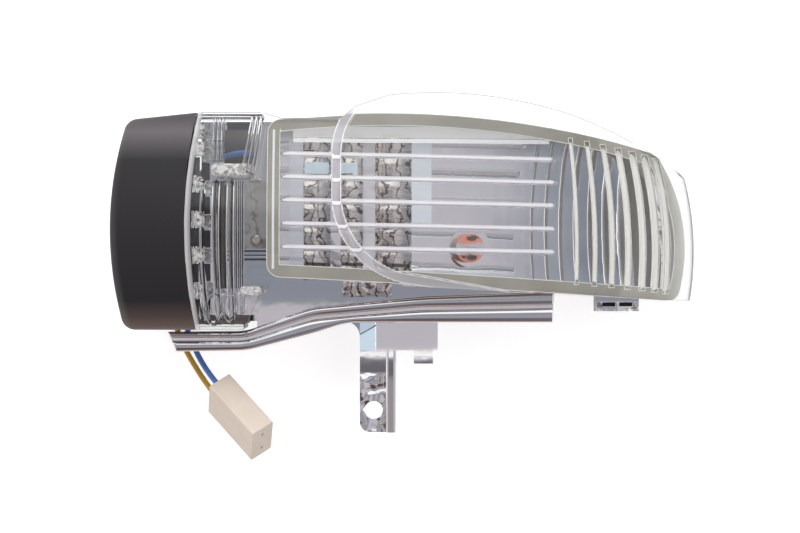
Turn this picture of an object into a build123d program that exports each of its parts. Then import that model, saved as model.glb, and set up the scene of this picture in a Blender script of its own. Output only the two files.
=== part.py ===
from build123d import *
import math
import os

# Side repeater lamp for a door mirror, in millimetres.
# +X runs along the lamp to its wrapped outer end, +Z is up and the lens faces -Y.
# The origin is the centre of the fixing tab's screw hole, on the tab's front face.

# Lens face: a crowned wall along a gentle arc that turns back round the outer end
FACE_RADIUS = 420.0
FACE_APEX_X = -34.7
FACE_APEX_Y = -31.0
FACE_LEFT_TURN = 9.8
FACE_RIGHT_TURN = 14.6
END_RADIUS = 62.0
END_TURN = 64.0
CROWN_RADIUS = 110.0
CROWN_HEIGHT = 56.0
BODY_DEPTH = 45.0
FACE_LOW = 12.0
FACE_HIGH = 118.0
THROUGH = 150.0

# Lens moulding
LENS_WALL = 2.2
LENS_STEP = 1.8
STEP_ROUND = 1.5
STEP_X = -12.6
STEP_BEND_Z = 76.0
STEP_BEND_RADIUS = 30.0
STEP_BEND_TURN = 80.0
STEP_LEAN_Z = 90.0
STEP_LEAN_RADIUS = 26.0
STEP_LEAN_TURN = 34.0
LENS_TOP = 104.4
LENS_BOTTOM = 28.8
LENS_BACK_Y = 8.0
SEAM_X = -61.5
SEAM_BOW = 3.6
BAY_TOP_RIGHT = -38.5
BAY_BOTTOM_RIGHT = -44.5
LIP_NOTCH = (-31.6, 102.4)
LIP_SHOULDER = (-10.6, 102.2)
LIP_PEAK = (-5.7, 106.6)
LIP_START = (6.9, 110.8)
LIP_MIDDLE = (66.0, 106.2)
LIP_END = (118.0, 81.0)
LIP_REACH = 126.0
LENS_EDGE = 0.7

# Optics on the inside of the lens
RIB_COUNT = 5
RIB_RADIUS = 0.85
RIB_TOP = 88.9
RIB_PITCH = 8.0
RIB_LEFT = -31.5
RIB_RIGHT = 61.0
RIB_TILT = 1.1
RIB_LAP = 3.5
FLUTE_COUNT = 7
FLUTE_RADIUS = 0.75
FLUTE_GROWTH = 0.2
FLUTE_PITCH = 6.5
FLUTE_LOW = 44.5
FLUTE_HIGH = 95.5
FLUTE_DROP = 1.1
RIDGE_COUNT = 3
RIDGE_RADIUS = 1.1
RIDGE_FIRST_X = -57.0
RIDGE_PITCH = 4.2
RIDGE_MARGIN = 5.0
LEDGE_HEIGHT = 84.0
LEDGE_THICK = 2.0
LEDGE_LEFT = -56.0
LEDGE_RIGHT = -43.0
LEDGE_BACK_Y = -8.0

# Window outline, shared by weld bead and housing
WINDOW_LEFT = -36.5
WINDOW_TOP = 101.0
WINDOW_BOTTOM = 47.4
WINDOW_TOP_MIDDLE = (44.0, 101.4)
WINDOW_TOP_RIGHT = (100.0, 90.0)
WINDOW_RIGHT_MIDDLE = (109.4, 68.0)
WINDOW_BOTTOM_RIGHT = (107.3, 38.4)
WINDOW_BOTTOM_MIDDLE = (44.0, 42.9)
WINDOW_CORNER = 4.5
BEAD_WIDTH = 4.2
BEAD_THICK = 1.6

# Reflector housing
HOUSING_WALL = 2.2
DISH_START = (-40.0, -13.0)
DISH_HEADING = 18.0
DISH_HOLLOW_RADIUS = 180.0
DISH_HOLLOW_TURN = 14.0
DISH_END_RADIUS = 240.0
DISH_END_TURN = 29.0
DISH_CROWN = 140.0
DISH_HEIGHT = 68.0
FACET_COLUMNS = ((-19.8, 9.2), (-7.7, 7.6), (6.9, 12.6))
FACET_ROWS = 6
FACET_HEIGHT = 7.0
FACET_RISE = 1.8
FACET_ROOT = 1.2
FACET_RADIUS = 14.0
BAY_PLATE_Y = 4.5
BAY_GAP = 0.4
BAY_COLUMNS = ((-53.8, 2.3), (-50.3, 1.0), (-48.4, 0.7), (-46.9, 0.6))
BAY_COLUMN_LOW = 43.0
BAY_STEP_LEFT = -45.6
BAY_STEP_RISE = 6.8
BAY_STEP_LOW = 50.0
BAY_STEP_HIGH = 81.0
BAY_WINDOW_LEFT = -53.0
BAY_WINDOW_RIGHT = -42.5
BAY_WINDOW_LOW = 86.0
BAY_WINDOW_HIGH = 99.0
BOSS_X = -41.4
BOSS_HEIGHT = 60.0
BOSS_RADIUS = 2.0
BOSS_RISE = 2.0
FIN_COUNT = 3
FIN_LOW = 42.5
FIN_PITCH = 2.2
FIN_THICK = 0.9

# Bulb and its twist-in holder, on an axis along Y
BULB_X = 33.8
BULB_Z = 57.2
BULB_RADIUS = 5.0
BULB_TIP_Y = -13.0
BULB_NECK_Y = 4.0
WEDGE_WIDTH = 8.4
WEDGE_THICK = 3.6
WEDGE_LENGTH = 8.0
BULB_HOLE_RADIUS = 6.6
SOCKET_RADIUS = 8.1
SOCKET_WALL = 2.2
SOCKET_END_Y = 9.0
SEAL_THICK = 1.6
SEAL_WALL = 1.8
HOLDER_CLEARANCE = 0.25
HOLDER_FLANGE_RADIUS = 11.5
HOLDER_FLANGE_THICK = 2.2
HOLDER_FRONT_Y = 4.4
GRIP_WIDTH = 18.0
GRIP_HEIGHT = 9.6
GRIP_LENGTH = 9.0
GRIP_ROUND = 1.5
CONTACT_WIDTH = 2.6
CONTACT_THICK = 0.8
CONTACT_TAIL_Y = 17.6
CRIMP_RADIUS = 1.5
CRIMP_LENGTH = 4.5
SLIP = 0.1

# Grooved rail, web, plate, fixing tab, hook and clip of the housing
RAIL_FRONT_Y = -12.0
RAIL_BACK_Y = 2.5
RAIL_SMOOTHING = 16.0
RAIL_TOP = ((-71.9, 27.8), (-45.0, 28.0), (-21.5, 36.4), (18.0, 40.2), (63.2, 42.0))
RAIL_BOTTOM = ((62.6, 31.4), (-9.0, 31.4), (-21.0, 27.6), (-44.0, 21.6), (-69.1, 21.2))
RAIL_GROOVE = ((-74.0, 25.3), (-44.5, 25.3), (-21.0, 32.8), (16.0, 36.0), (66.0, 36.8))
RAIL_GROOVE_WIDTH = 1.2
RAIL_GROOVE_DEPTH = 3.0
RAIL_ROUND = 0.9
WEB_FRONT_Y = -4.0
WEB_TOP = 48.0
WEB_LEFT = -41.0
WEB_RIGHT = 58.0
TAB_THICK = 2.5
TAB_LEFT = -4.9
TAB_RIGHT = 7.9
TAB_BOTTOM = -7.8
TAB_CORNER = 3.6
TAB_RIB_WIDTH = 3.6
TAB_RIB_RISE = 3.2
TAB_RIB_ROUND = 1.0
GUSSET_RADIUS = 5.5
TAB_RECESS_LOW = 13.4
TAB_RECESS_HIGH = 19.0
TAB_RECESS_DEPTH = 1.2
HOLE_RADIUS = 3.2
PLATE_LEFT = 0.9
PLATE_RIGHT = 22.6
PLATE_BOTTOM = 21.2
PLATE_FRONT_Y = -3.4
HOOK_LEFT = 14.2
HOOK_RIGHT = 20.9
HOOK_BOTTOM = 16.6
HOOK_LIP = 2.0
CLIP_LEFT = 78.6
CLIP_RIGHT = 94.0
CLIP_BOTTOM = 34.9
CLIP_BACK_Y = 13.0
CLIP_FRONT_Y = 3.0
CLIP_SLOT_WIDTH = 4.6
CLIP_SLOT_HEIGHT = 1.4

# End cap
CAP_TOP_LEFT = (SEAM_X - 24.3, 101.9)
CAP_BULGE = (SEAM_X - 29.4, 72.0)
CAP_BOTTOM_LEFT_X = SEAM_X - 24.7
CAP_BACK_Y = 13.0
CAP_WALL = 2.4
CAP_CORNER = 5.0
CAP_EDGE = 4.0
TONGUE_COUNT = 5
TONGUE_FIRST = 85.2
TONGUE_PITCH = 12.2
TONGUE_HEIGHT = 6.3
TONGUE_REACH = 1.6
TONGUE_THICK = 1.6
TONGUE_ROOT = 4.0
COVER_LEFT = -57.0
COVER_RIGHT = -40.5
COVER_FRONT_Y = 16.5
COVER_THICK = 1.5
COVER_LOW = 84.5
COVER_HIGH = 102.0
COVER_ARM = 3.0
FOOT_RIGHT = -43.4
FOOT_FRONT_Y = -16.0
FOOT_BACK_Y = -4.0
FOOT_THICK = 2.2

# Wires and connector
WIRE_DIAMETER = 2.0
WIRE_ARC_SHARE = 0.45
WIRE_STRAIGHT = 10.0
CONNECTOR_CENTRE = Vector(-47.3, 3.2, -2.6)
CONNECTOR_AXIS = Vector(0.632, -0.411, -0.660).normalized()
CONNECTOR_ACROSS = Vector(-0.773, -0.420, -0.477)
CONNECTOR_LENGTH = 25.0
CONNECTOR_WIDTH = 17.4
CONNECTOR_THICK = 9.0
CONNECTOR_ROUND = 0.8
TERMINAL_SPACING = 8.6
TERMINAL_WIDTH = 5.4
TERMINAL_THICK = 2.6
TERMINAL_ROUND = 0.5
TERMINAL_INSET = 2.0
WIRE_ENTRY_DEPTH = 3.0
PROBE_RADIUS = 0.6
YELLOW_MIDDLE = (
    (-5.0, 12.5, 63.5), (-19.5, 8.8, 75.0), (-34.5, 10.2, 85.5), (-50.5, 12.2, 87.5), (-63.5, 16.4, 77.0),
    (-70.5, 18.6, 61.0), (-73.2, 18.6, 43.5), (-71.5, 18.0, 27.0))
BLUE_MIDDLE = (
    (-5.5, 12.5, 68.0), (-20.0, 8.8, 79.4), (-35.0, 10.2, 90.0), (-51.0, 12.2, 92.0), (-64.5, 17.0, 83.0),
    (-70.0, 21.0, 67.5), (-71.0, 21.8, 50.0), (-69.2, 19.5, 34.0), (-65.2, 14.0, 23.0))
GUIDE_X = -12.4
BAY_GUIDE_X = -40.0
GUIDE_THICK = 1.8
GUIDE_PRONG = 2.4
GUIDE_ROOM = 2.4
GUIDE_REACH = 1.6


def prism(outline):
    """A front-view outline made into a bar right through the lamp."""
    return extrude(Plane.XZ * outline, amount=THROUGH, both=True)


def slab(low, high):
    """A box from its lowest to its highest corner."""
    size = [top - bottom for bottom, top in zip(low, high)]
    return Pos(*low) * Box(*size, align=(Align.MIN, Align.MIN, Align.MIN))


def block(left, right, low, high):
    """A front-view rectangle made into a bar right through the lamp."""
    return slab((left, -THROUGH, low), (right, THROUGH, high))


def crown_point(crown, height, offset, level):
    """A point of a crowned section: how far it stands out from the plan curve, and its level."""
    reach = math.sqrt((crown - offset) ** 2 - (level - height) ** 2)
    return (math.copysign(reach, crown) - crown, level)


def section_plane(point, heading):
    """Upright plane across a plan curve, its x pointing out of the lamp and its y up."""
    return Plane(origin=point, x_dir=(heading.Y, -heading.X, 0), z_dir=-heading)


def face_path():
    """Plan curve of the lens front at its most forward height."""
    turn = math.radians(FACE_LEFT_TURN)
    start = (FACE_APEX_X - FACE_RADIUS * math.sin(turn), FACE_APEX_Y + FACE_RADIUS * (1 - math.cos(turn)))
    front = JernArc(start, (math.cos(turn), -math.sin(turn)), FACE_RADIUS, FACE_LEFT_TURN + FACE_RIGHT_TURN)
    end = JernArc(front @ 1, front % 1, END_RADIUS, END_TURN)
    return front, end


def dish_path():
    """Plan curve of the reflector: hollow at first, then following the lens round."""
    turn = math.radians(DISH_HEADING)
    hollow = JernArc(DISH_START, (math.cos(turn), math.sin(turn)), DISH_HOLLOW_RADIUS, -DISH_HOLLOW_TURN)
    end = JernArc(hollow @ 1, hollow % 1, DISH_END_RADIUS, DISH_END_TURN)
    return hollow, end


def behind(path, crown, height, offset):
    """Everything behind the surface that a crowned section leaves along a plan curve."""
    levels = (FACE_LOW, height, FACE_HIGH)
    low, middle, high = [crown_point(crown, height, offset, level) for level in levels]
    back = Polyline(high, (-BODY_DEPTH, FACE_HIGH), (-BODY_DEPTH, FACE_LOW), low)
    outline = [ThreePointArc(low, middle, high), back]
    first = path[0]
    return sweep(section_plane(first @ 0, first % 0) * make_face(outline), Curve() + list(path))


def behind_face(offset):
    return behind(face_path(), CROWN_RADIUS, CROWN_HEIGHT, offset)


def behind_dish(offset):
    return behind(dish_path(), -DISH_CROWN, DISH_HEIGHT, offset)


def window_outline():
    """Outer edge of the weld bead in front view."""
    low_left = (WINDOW_LEFT, WINDOW_BOTTOM)
    top_left = (WINDOW_LEFT, WINDOW_TOP)
    outline = make_face([
        Line(low_left, top_left),
        ThreePointArc(top_left, WINDOW_TOP_MIDDLE, WINDOW_TOP_RIGHT),
        ThreePointArc(WINDOW_TOP_RIGHT, WINDOW_RIGHT_MIDDLE, WINDOW_BOTTOM_RIGHT),
        ThreePointArc(WINDOW_BOTTOM_RIGHT, WINDOW_BOTTOM_MIDDLE, low_left),
    ])
    return fillet(outline.vertices(), WINDOW_CORNER)


def seam():
    """Bowed line between cap and lens in front view, from bottom to top."""
    middle = (LENS_TOP + LENS_BOTTOM) / 2
    return ThreePointArc((SEAM_X, LENS_BOTTOM), (SEAM_X - SEAM_BOW, middle), (SEAM_X, LENS_TOP))


def lens_outline():
    """Front view of the lens with its lip. Its right end is where the swept face stops."""
    low_right = (LIP_REACH, WINDOW_BOTTOM_RIGHT[1] - LENS_EDGE)
    low_left = (WINDOW_LEFT, WINDOW_BOTTOM - LENS_EDGE)
    low_middle = (WINDOW_BOTTOM_MIDDLE[0], WINDOW_BOTTOM_MIDDLE[1] - LENS_EDGE)
    return make_face([
        seam(),
        Polyline((SEAM_X, LENS_TOP), (BAY_TOP_RIGHT, LENS_TOP), LIP_NOTCH, LIP_SHOULDER, LIP_PEAK, LIP_START),
        ThreePointArc(LIP_START, LIP_MIDDLE, LIP_END),
        Polyline(LIP_END, (LIP_REACH, LIP_END[1]), low_right),
        ThreePointArc(low_right, low_middle, low_left),
        Polyline(low_left, (BAY_BOTTOM_RIGHT, LENS_BOTTOM), (SEAM_X, LENS_BOTTOM)),
    ])


def raised_outline(inset):
    """Front view of the raised part of the lens, right of its bent step."""
    lean = (STEP_X + inset, STEP_LEAN_Z)
    bend = (STEP_X + inset, STEP_BEND_Z)
    upper = JernArc(lean, (0, 1), STEP_LEAN_RADIUS - inset, -STEP_LEAN_TURN)
    lower = JernArc(bend, (0, -1), STEP_BEND_RADIUS - inset, STEP_BEND_TURN)
    top = upper @ 1 + (upper % 1) * THROUGH
    tail = lower @ 1 + (lower % 1) * THROUGH
    rest = Polyline(lower @ 1, tail, (tail.X, top.Y), top, upper @ 1)
    return make_face([upper, Line(lean, bend), lower, rest])


def lens_outside():
    """Everything behind the outside of the lens, with its step rounded."""
    raised = behind_face(0) & prism(raised_outline(0))
    crease = [edge for edge in raised.edges().filter_by(GeomType.BSPLINE) if edge.center().Y < FACE_APEX_Y / 2]
    return behind_face(LENS_STEP) + fillet(crease, STEP_ROUND)


def lens_inside():
    """Everything behind the inside of the lens wall."""
    raised = behind_face(LENS_WALL) & prism(raised_outline(LENS_WALL))
    return behind_face(LENS_STEP + LENS_WALL) + raised


def upright_rod(point, heading, radius, low, high, offset):
    """A round rod up the lens wall along its crowned section."""
    middle = (low + high) / 2
    levels = (low, middle, high)
    line = ThreePointArc(*[crown_point(CROWN_RADIUS, CROWN_HEIGHT, offset, level) for level in levels])
    line = section_plane(point, heading) * line
    return sweep(Plane(origin=line @ 0, z_dir=line % 0) * Circle(radius), line)


def flutes():
    """Upright rods round the outer end of the lens, thicker and shorter towards the tip."""
    end = face_path()[1]
    rods = []
    for index in range(FLUTE_COUNT):
        share = index * FLUTE_PITCH / END_TURN
        low = FLUTE_LOW - index * FLUTE_DROP / 2
        high = FLUTE_HIGH - index * FLUTE_DROP
        radius = FLUTE_RADIUS + index * FLUTE_GROWTH
        rods.append(upright_rod(end @ share, end % share, radius, low, high, LENS_WALL))
    return rods


def ridges():
    """Upright rods on the inside of the clear left end."""
    front = face_path()[0]
    rods = []
    for index in range(RIDGE_COUNT):
        turn = math.degrees(math.asin((RIDGE_FIRST_X + index * RIDGE_PITCH - FACE_APEX_X) / FACE_RADIUS))
        share = (FACE_LEFT_TURN + turn) / (FACE_LEFT_TURN + FACE_RIGHT_TURN)
        low = LENS_BOTTOM + RIDGE_MARGIN
        high = LEDGE_HEIGHT - RIDGE_MARGIN
        rods.append(upright_rod(front @ share, front % share, RIDGE_RADIUS, low, high, LENS_STEP + LENS_WALL))
    return rods


def level_rod(height, left, right, offset):
    """A round rod along the lens wall at one level, with a round right end."""
    out, level = crown_point(CROWN_RADIUS, CROWN_HEIGHT, offset, height)
    radius = FACE_RADIUS + out
    centre = (FACE_APEX_X, FACE_APEX_Y + FACE_RADIUS, level)
    turns = [math.degrees(math.asin((x - FACE_APEX_X) / radius)) for x in (left, right)]
    line = CenterArc(centre, radius, turns[0] - 90, turns[1] - turns[0])
    rod = sweep(Plane(origin=line @ 0, z_dir=line % 0) * Circle(RIB_RADIUS), line)
    return rod + Pos(line @ 1) * Sphere(RIB_RADIUS)


def step_at(height):
    """Where the step of the lens lies at one level."""
    drop = max(0.0, STEP_BEND_Z - height)
    return STEP_X + STEP_BEND_RADIUS - math.sqrt(STEP_BEND_RADIUS ** 2 - drop ** 2)


def ribs():
    """Level rods on the inside of the lens, in two lengths that meet at its step."""
    rods = []
    for index in range(RIB_COUNT):
        height = RIB_TOP - index * RIB_PITCH
        step = step_at(height)
        rods.append(level_rod(height, RIB_LEFT, step + RIB_LAP, LENS_STEP + LENS_WALL))
        rods.append(level_rod(height, step, RIB_RIGHT, LENS_WALL))
    return [Rot(0, RIB_TILT, 0) * rod for rod in rods]


def outer_lens():
    wall = (lens_outside() - lens_inside()) & prism(lens_outline())
    bay_front = behind_face(LENS_STEP + LENS_WALL / 2)
    top = slab((SEAM_X, -THROUGH, LENS_TOP - LENS_WALL), (BAY_TOP_RIGHT, LENS_BACK_Y, LENS_TOP - SLIP))
    bottom = slab((SEAM_X, -THROUGH, LENS_BOTTOM), (BAY_BOTTOM_RIGHT, LENS_BACK_Y, LENS_BOTTOM + LENS_WALL))
    ledge_top = LEDGE_HEIGHT + LEDGE_THICK
    ledge = slab((LEDGE_LEFT, -THROUGH, LEDGE_HEIGHT), (LEDGE_RIGHT, LEDGE_BACK_Y, ledge_top))
    lens = wall
    for plate in (top, bottom, ledge):
        lens += plate & bay_front
    for rod in flutes() + ridges() + ribs():
        lens += rod
    return lens


def weld_bead(lens):
    outline = window_outline()
    band = prism(outline) - prism(offset(outline, -BEAD_WIDTH))
    rim = LENS_STEP + LENS_WALL + BEAD_THICK
    return ((lens_inside() - behind_face(rim)) & band) - lens


def dish_place(x, height):
    """Point of the reflector's front and its heading in plan, at one place in front view."""
    start = math.radians(DISH_HEADING)
    bend = math.radians(DISH_HEADING - DISH_HOLLOW_TURN)
    hollow_run = DISH_HOLLOW_RADIUS * (math.sin(start) - math.sin(bend))
    run = x - DISH_START[0]
    if run < hollow_run:
        heading = math.asin(math.sin(start) - run / DISH_HOLLOW_RADIUS)
        depth = DISH_HOLLOW_RADIUS * (math.cos(heading) - math.cos(start))
    else:
        heading = math.asin(math.sin(bend) + (run - hollow_run) / DISH_END_RADIUS)
        depth = DISH_HOLLOW_RADIUS * (math.cos(bend) - math.cos(start))
        depth += DISH_END_RADIUS * (math.cos(bend) - math.cos(heading))
    rise = crown_point(-DISH_CROWN, DISH_HEIGHT, 0, height)[0]
    return Vector(x, DISH_START[1] + depth - rise, height), math.degrees(heading)


def facet(width):
    """One pillow of the reflector: a block whose front is part of a ball."""
    body = Box(width, FACET_RISE + FACET_ROOT, FACET_HEIGHT, align=(Align.CENTER, Align.MAX, Align.CENTER))
    return Pos(0, FACET_ROOT, 0) * body & Pos(0, FACET_RADIUS - FACET_RISE, 0) * Sphere(FACET_RADIUS)


def facets():
    pillows = []
    for x, width in FACET_COLUMNS:
        pillow = facet(width)
        for row in range(FACET_ROWS):
            height = RIB_TOP - (row - 0.5) * RIB_PITCH
            place, heading = dish_place(x, height)
            pillows.append(Pos(place) * Rot(0, 0, heading) * pillow)
    return pillows


def tub():
    """Walls and floor of the reflector, open to the lens."""
    outline = window_outline()
    rim = LENS_STEP + LENS_WALL + BEAD_THICK
    shell = (behind_face(rim) & prism(outline)) - behind_dish(HOUSING_WALL)
    return shell - (prism(offset(outline, -HOUSING_WALL)) - behind_dish(0))


def left_bay():
    """Plate behind the clear left end with columns, step, boss and fins, open at the top to the wires."""
    low = LENS_BOTTOM + LENS_WALL + BAY_GAP
    high = LENS_TOP - LENS_WALL - BAY_GAP
    back = BAY_PLATE_Y + HOUSING_WALL
    right = WINDOW_LEFT + HOUSING_WALL
    bay = slab((SEAM_X + BAY_GAP, BAY_PLATE_Y, low), (right, back, high))
    bay -= block(BAY_WINDOW_LEFT, BAY_WINDOW_RIGHT, BAY_WINDOW_LOW, BAY_WINDOW_HIGH)
    side_front = dish_place(WINDOW_LEFT, WINDOW_BOTTOM)[0].Y - HOUSING_WALL
    bay += slab((WINDOW_LEFT, side_front, WINDOW_BOTTOM), (right, back, WINDOW_TOP - WINDOW_CORNER))
    bay += slab((WINDOW_LEFT, WEB_FRONT_Y, low), (right, back, WINDOW_BOTTOM))
    for x, radius in BAY_COLUMNS:
        bay += Pos(x, BAY_PLATE_Y, BAY_COLUMN_LOW) * Cylinder(
            radius, BAY_STEP_HIGH - BAY_COLUMN_LOW, align=(Align.CENTER, Align.CENTER, Align.MIN))
    step_front = BAY_PLATE_Y - BAY_STEP_RISE
    bay += slab((BAY_STEP_LEFT, step_front, BAY_STEP_LOW), (WINDOW_LEFT, BAY_PLATE_Y, BAY_STEP_HIGH))
    boss = Pos(BOSS_X, step_front, BOSS_HEIGHT) * Rot(90, 0, 0) * Cylinder(
        BOSS_RADIUS, BOSS_RISE, align=(Align.CENTER, Align.CENTER, Align.MIN))
    bay += fillet(boss.edges().group_by(Axis.Y)[0], BOSS_RADIUS / 2)
    for index in range(FIN_COUNT):
        low = FIN_LOW + index * FIN_PITCH
        bay += slab((BAY_STEP_LEFT, step_front, low), (WINDOW_LEFT, BAY_PLATE_Y, low + FIN_THICK))
    return bay


def rail():
    """Grooved rail under the lamp with the web that carries it."""
    outline = make_face(FilletPolyline(*RAIL_TOP, radius=RAIL_SMOOTHING).edges()
                        + Line(RAIL_TOP[-1], RAIL_BOTTOM[0]).edges()
                        + FilletPolyline(*RAIL_BOTTOM, radius=RAIL_SMOOTHING).edges()
                        + Line(RAIL_BOTTOM[-1], RAIL_TOP[0]).edges())
    bar = extrude(Plane.XZ * outline, amount=-RAIL_FRONT_Y) + extrude(Plane.XZ * outline, amount=-RAIL_BACK_Y)
    stroke = trace(FilletPolyline(*RAIL_GROOVE, radius=RAIL_SMOOTHING), RAIL_GROOVE_WIDTH)
    groove = Pos(0, RAIL_FRONT_Y, 0) * extrude(Plane.XZ * stroke, amount=-RAIL_GROOVE_DEPTH)
    bars = bar - groove
    return fillet(bars.edges().group_by(Axis.Y)[0], RAIL_ROUND)


def web():
    """Upright plate between the rail and the underside of the tub."""
    plate = make_face(Polyline((WEB_LEFT, RAIL_TOP[1][1]), RAIL_TOP[2], RAIL_TOP[3], (WEB_RIGHT, RAIL_TOP[4][1]),
                               (WEB_RIGHT, WEB_TOP), (WEB_LEFT, WEB_TOP), close=True))
    bar = Pos(0, WEB_FRONT_Y, 0) * extrude(Plane.XZ * plate, amount=-HOUSING_WALL)
    return bar - prism(offset(window_outline(), -HOUSING_WALL / 2))


def fixing_tab():
    top = RAIL_BOTTOM[1][1]
    face = make_face(Polyline((TAB_LEFT, TAB_BOTTOM), (TAB_RIGHT, TAB_BOTTOM), (TAB_RIGHT, top), (TAB_LEFT, top),
                              close=True))
    face = fillet(face.vertices().sort_by(Axis.Y)[:2].sort_by(Axis.X)[0], TAB_CORNER)
    tab = extrude(Plane.XZ * face, amount=-TAB_THICK)
    rib_left = TAB_RIGHT - TAB_RIB_WIDTH
    rib = slab((rib_left, -TAB_RIB_RISE, TAB_BOTTOM), (TAB_RIGHT, 0, top))
    tab += fillet(rib.edges().filter_by(Axis.Z).group_by(Axis.Y)[0], TAB_RIB_ROUND)
    tab -= slab((TAB_LEFT, 0, TAB_RECESS_LOW), (rib_left, TAB_RECESS_DEPTH, TAB_RECESS_HIGH))
    return tab - prism(Circle(HOLE_RADIUS))


def gusset():
    """Curved corner between the underside of the rail and the tab."""
    top = RAIL_BOTTOM[1][1]
    start = (TAB_LEFT - GUSSET_RADIUS, top)
    end = (TAB_LEFT, top - GUSSET_RADIUS)
    corner = make_face([RadiusArc(start, end, GUSSET_RADIUS), Polyline(end, (TAB_LEFT, top), start)])
    return extrude(Plane.XZ * corner, amount=-TAB_THICK)


def hook_plate():
    top = RAIL_BOTTOM[1][1]
    plan = make_face(Polyline((TAB_LEFT, 0), (PLATE_LEFT, PLATE_FRONT_Y), (PLATE_RIGHT, PLATE_FRONT_Y),
                              (PLATE_RIGHT, 0), close=True))
    plate = Pos(0, 0, PLATE_BOTTOM) * extrude(plan, top - PLATE_BOTTOM)
    hook = slab((HOOK_LEFT, PLATE_FRONT_Y, HOOK_BOTTOM), (HOOK_RIGHT, 0, PLATE_BOTTOM))
    lip = slab((HOOK_LEFT, PLATE_FRONT_Y - HOOK_LIP, HOOK_BOTTOM),
               (HOOK_RIGHT, PLATE_FRONT_Y, (HOOK_BOTTOM + PLATE_BOTTOM) / 2))
    return plate + hook + lip


def right_clip():
    top = WINDOW_BOTTOM_MIDDLE[1]
    clip = slab((CLIP_LEFT, CLIP_FRONT_Y, CLIP_BOTTOM), (CLIP_RIGHT, CLIP_BACK_Y, top))
    middle = (CLIP_LEFT + CLIP_RIGHT) / 2
    low = (CLIP_BOTTOM + WINDOW_BOTTOM_RIGHT[1]) / 2
    for left in (middle - CLIP_SLOT_WIDTH - LENS_EDGE, middle + LENS_EDGE):
        clip -= block(left, left + CLIP_SLOT_WIDTH, low, low + CLIP_SLOT_HEIGHT)
    return clip - prism(offset(window_outline(), -HOUSING_WALL / 2))


def route_at(route, x):
    """Point of a wire's route where it passes one place along the lamp."""
    for near, far in zip(route, route[1:]):
        if far.X <= x <= near.X:
            return near + (far - near) * ((near.X - x) / (near.X - far.X))


def wire_guide(x, root):
    """Two prongs on the back of the housing, one each side of the pair of wires."""
    low = route_at(wire_route(-1, YELLOW_MIDDLE), x)
    high = route_at(wire_route(1, BLUE_MIDDLE), x)
    left = x - GUIDE_THICK / 2
    right = x + GUIDE_THICK / 2
    bottom = low.Z - GUIDE_ROOM
    top = high.Z + GUIDE_ROOM
    back = max(low.Y, high.Y) + GUIDE_REACH
    guide = slab((left, root, bottom - GUIDE_PRONG), (right, back, top + GUIDE_PRONG))
    return guide - slab((left, min(low.Y, high.Y) - GUIDE_ROOM, bottom), (right, back, top))


def wire_guides():
    embed = HOUSING_WALL / 2
    dish_back = dish_place(GUIDE_X, DISH_HEIGHT)[0].Y + embed
    return [wire_guide(GUIDE_X, dish_back), wire_guide(BAY_GUIDE_X, BAY_PLATE_Y + embed)]


def on_bulb_axis(profile):
    """Turn a profile, given as radius and depth, about the bulb's axis."""
    return Pos(BULB_X, 0, BULB_Z) * revolve(profile, Axis.Y)


def ring(inner, outer, front, back):
    return on_bulb_axis(Pos(inner, front) * Rectangle(outer - inner, back - front, align=(Align.MIN, Align.MIN)))


def socket():
    front = dish_place(BULB_X, BULB_Z)[0].Y
    outer = SOCKET_RADIUS + SOCKET_WALL
    return ring(SOCKET_RADIUS, outer, front, SOCKET_END_Y) - (prism(window_outline()) - behind_dish(0))


def reflector_housing():
    housing = tub()
    pieces = [left_bay(), web(), rail(), gusset(), fixing_tab(), hook_plate(), right_clip(), socket()]
    for piece in pieces + wire_guides() + facets():
        housing += piece
    return housing - ring(0, BULB_HOLE_RADIUS, BULB_TIP_Y, SOCKET_END_Y)


def bulb():
    shoulder = BULB_TIP_Y + BULB_RADIUS
    glass = make_face([
        Line((0, BULB_NECK_Y), (0, BULB_TIP_Y)),
        RadiusArc((0, BULB_TIP_Y), (BULB_RADIUS, shoulder), BULB_RADIUS),
        Polyline((BULB_RADIUS, shoulder), (BULB_RADIUS, BULB_NECK_Y - BULB_RADIUS / 2),
                 (WEDGE_WIDTH / 2, BULB_NECK_Y), (0, BULB_NECK_Y)),
    ])
    wedge = slab((BULB_X - WEDGE_WIDTH / 2, BULB_NECK_Y, BULB_Z - WEDGE_THICK / 2),
                 (BULB_X + WEDGE_WIDTH / 2, BULB_NECK_Y + WEDGE_LENGTH, BULB_Z + WEDGE_THICK / 2))
    return on_bulb_axis(glass) + wedge


def contact(side):
    """Brass strip beside the bulb's wedge, turned to leave the grip sideways in a crimp."""
    near = WEDGE_THICK / 2 + SLIP
    low = BULB_Z + side * (near + CONTACT_THICK / 2) - CONTACT_THICK / 2
    half = CONTACT_WIDTH / 2
    far_corner = (BULB_X + half, CONTACT_TAIL_Y + half, low + CONTACT_THICK)
    strip = slab((BULB_X - half, HOLDER_FRONT_Y + SLIP, low), far_corner)
    crimp_start = BULB_X - GRIP_WIDTH / 2
    tail = slab((crimp_start, CONTACT_TAIL_Y - half, low), far_corner)
    barrel = Pos(crimp_start, CONTACT_TAIL_Y, low + CONTACT_THICK / 2) * Rot(0, -90, 0) * Cylinder(
        CRIMP_RADIUS, CRIMP_LENGTH, align=(Align.CENTER, Align.CENTER, Align.MIN))
    return strip + tail + barrel


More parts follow.
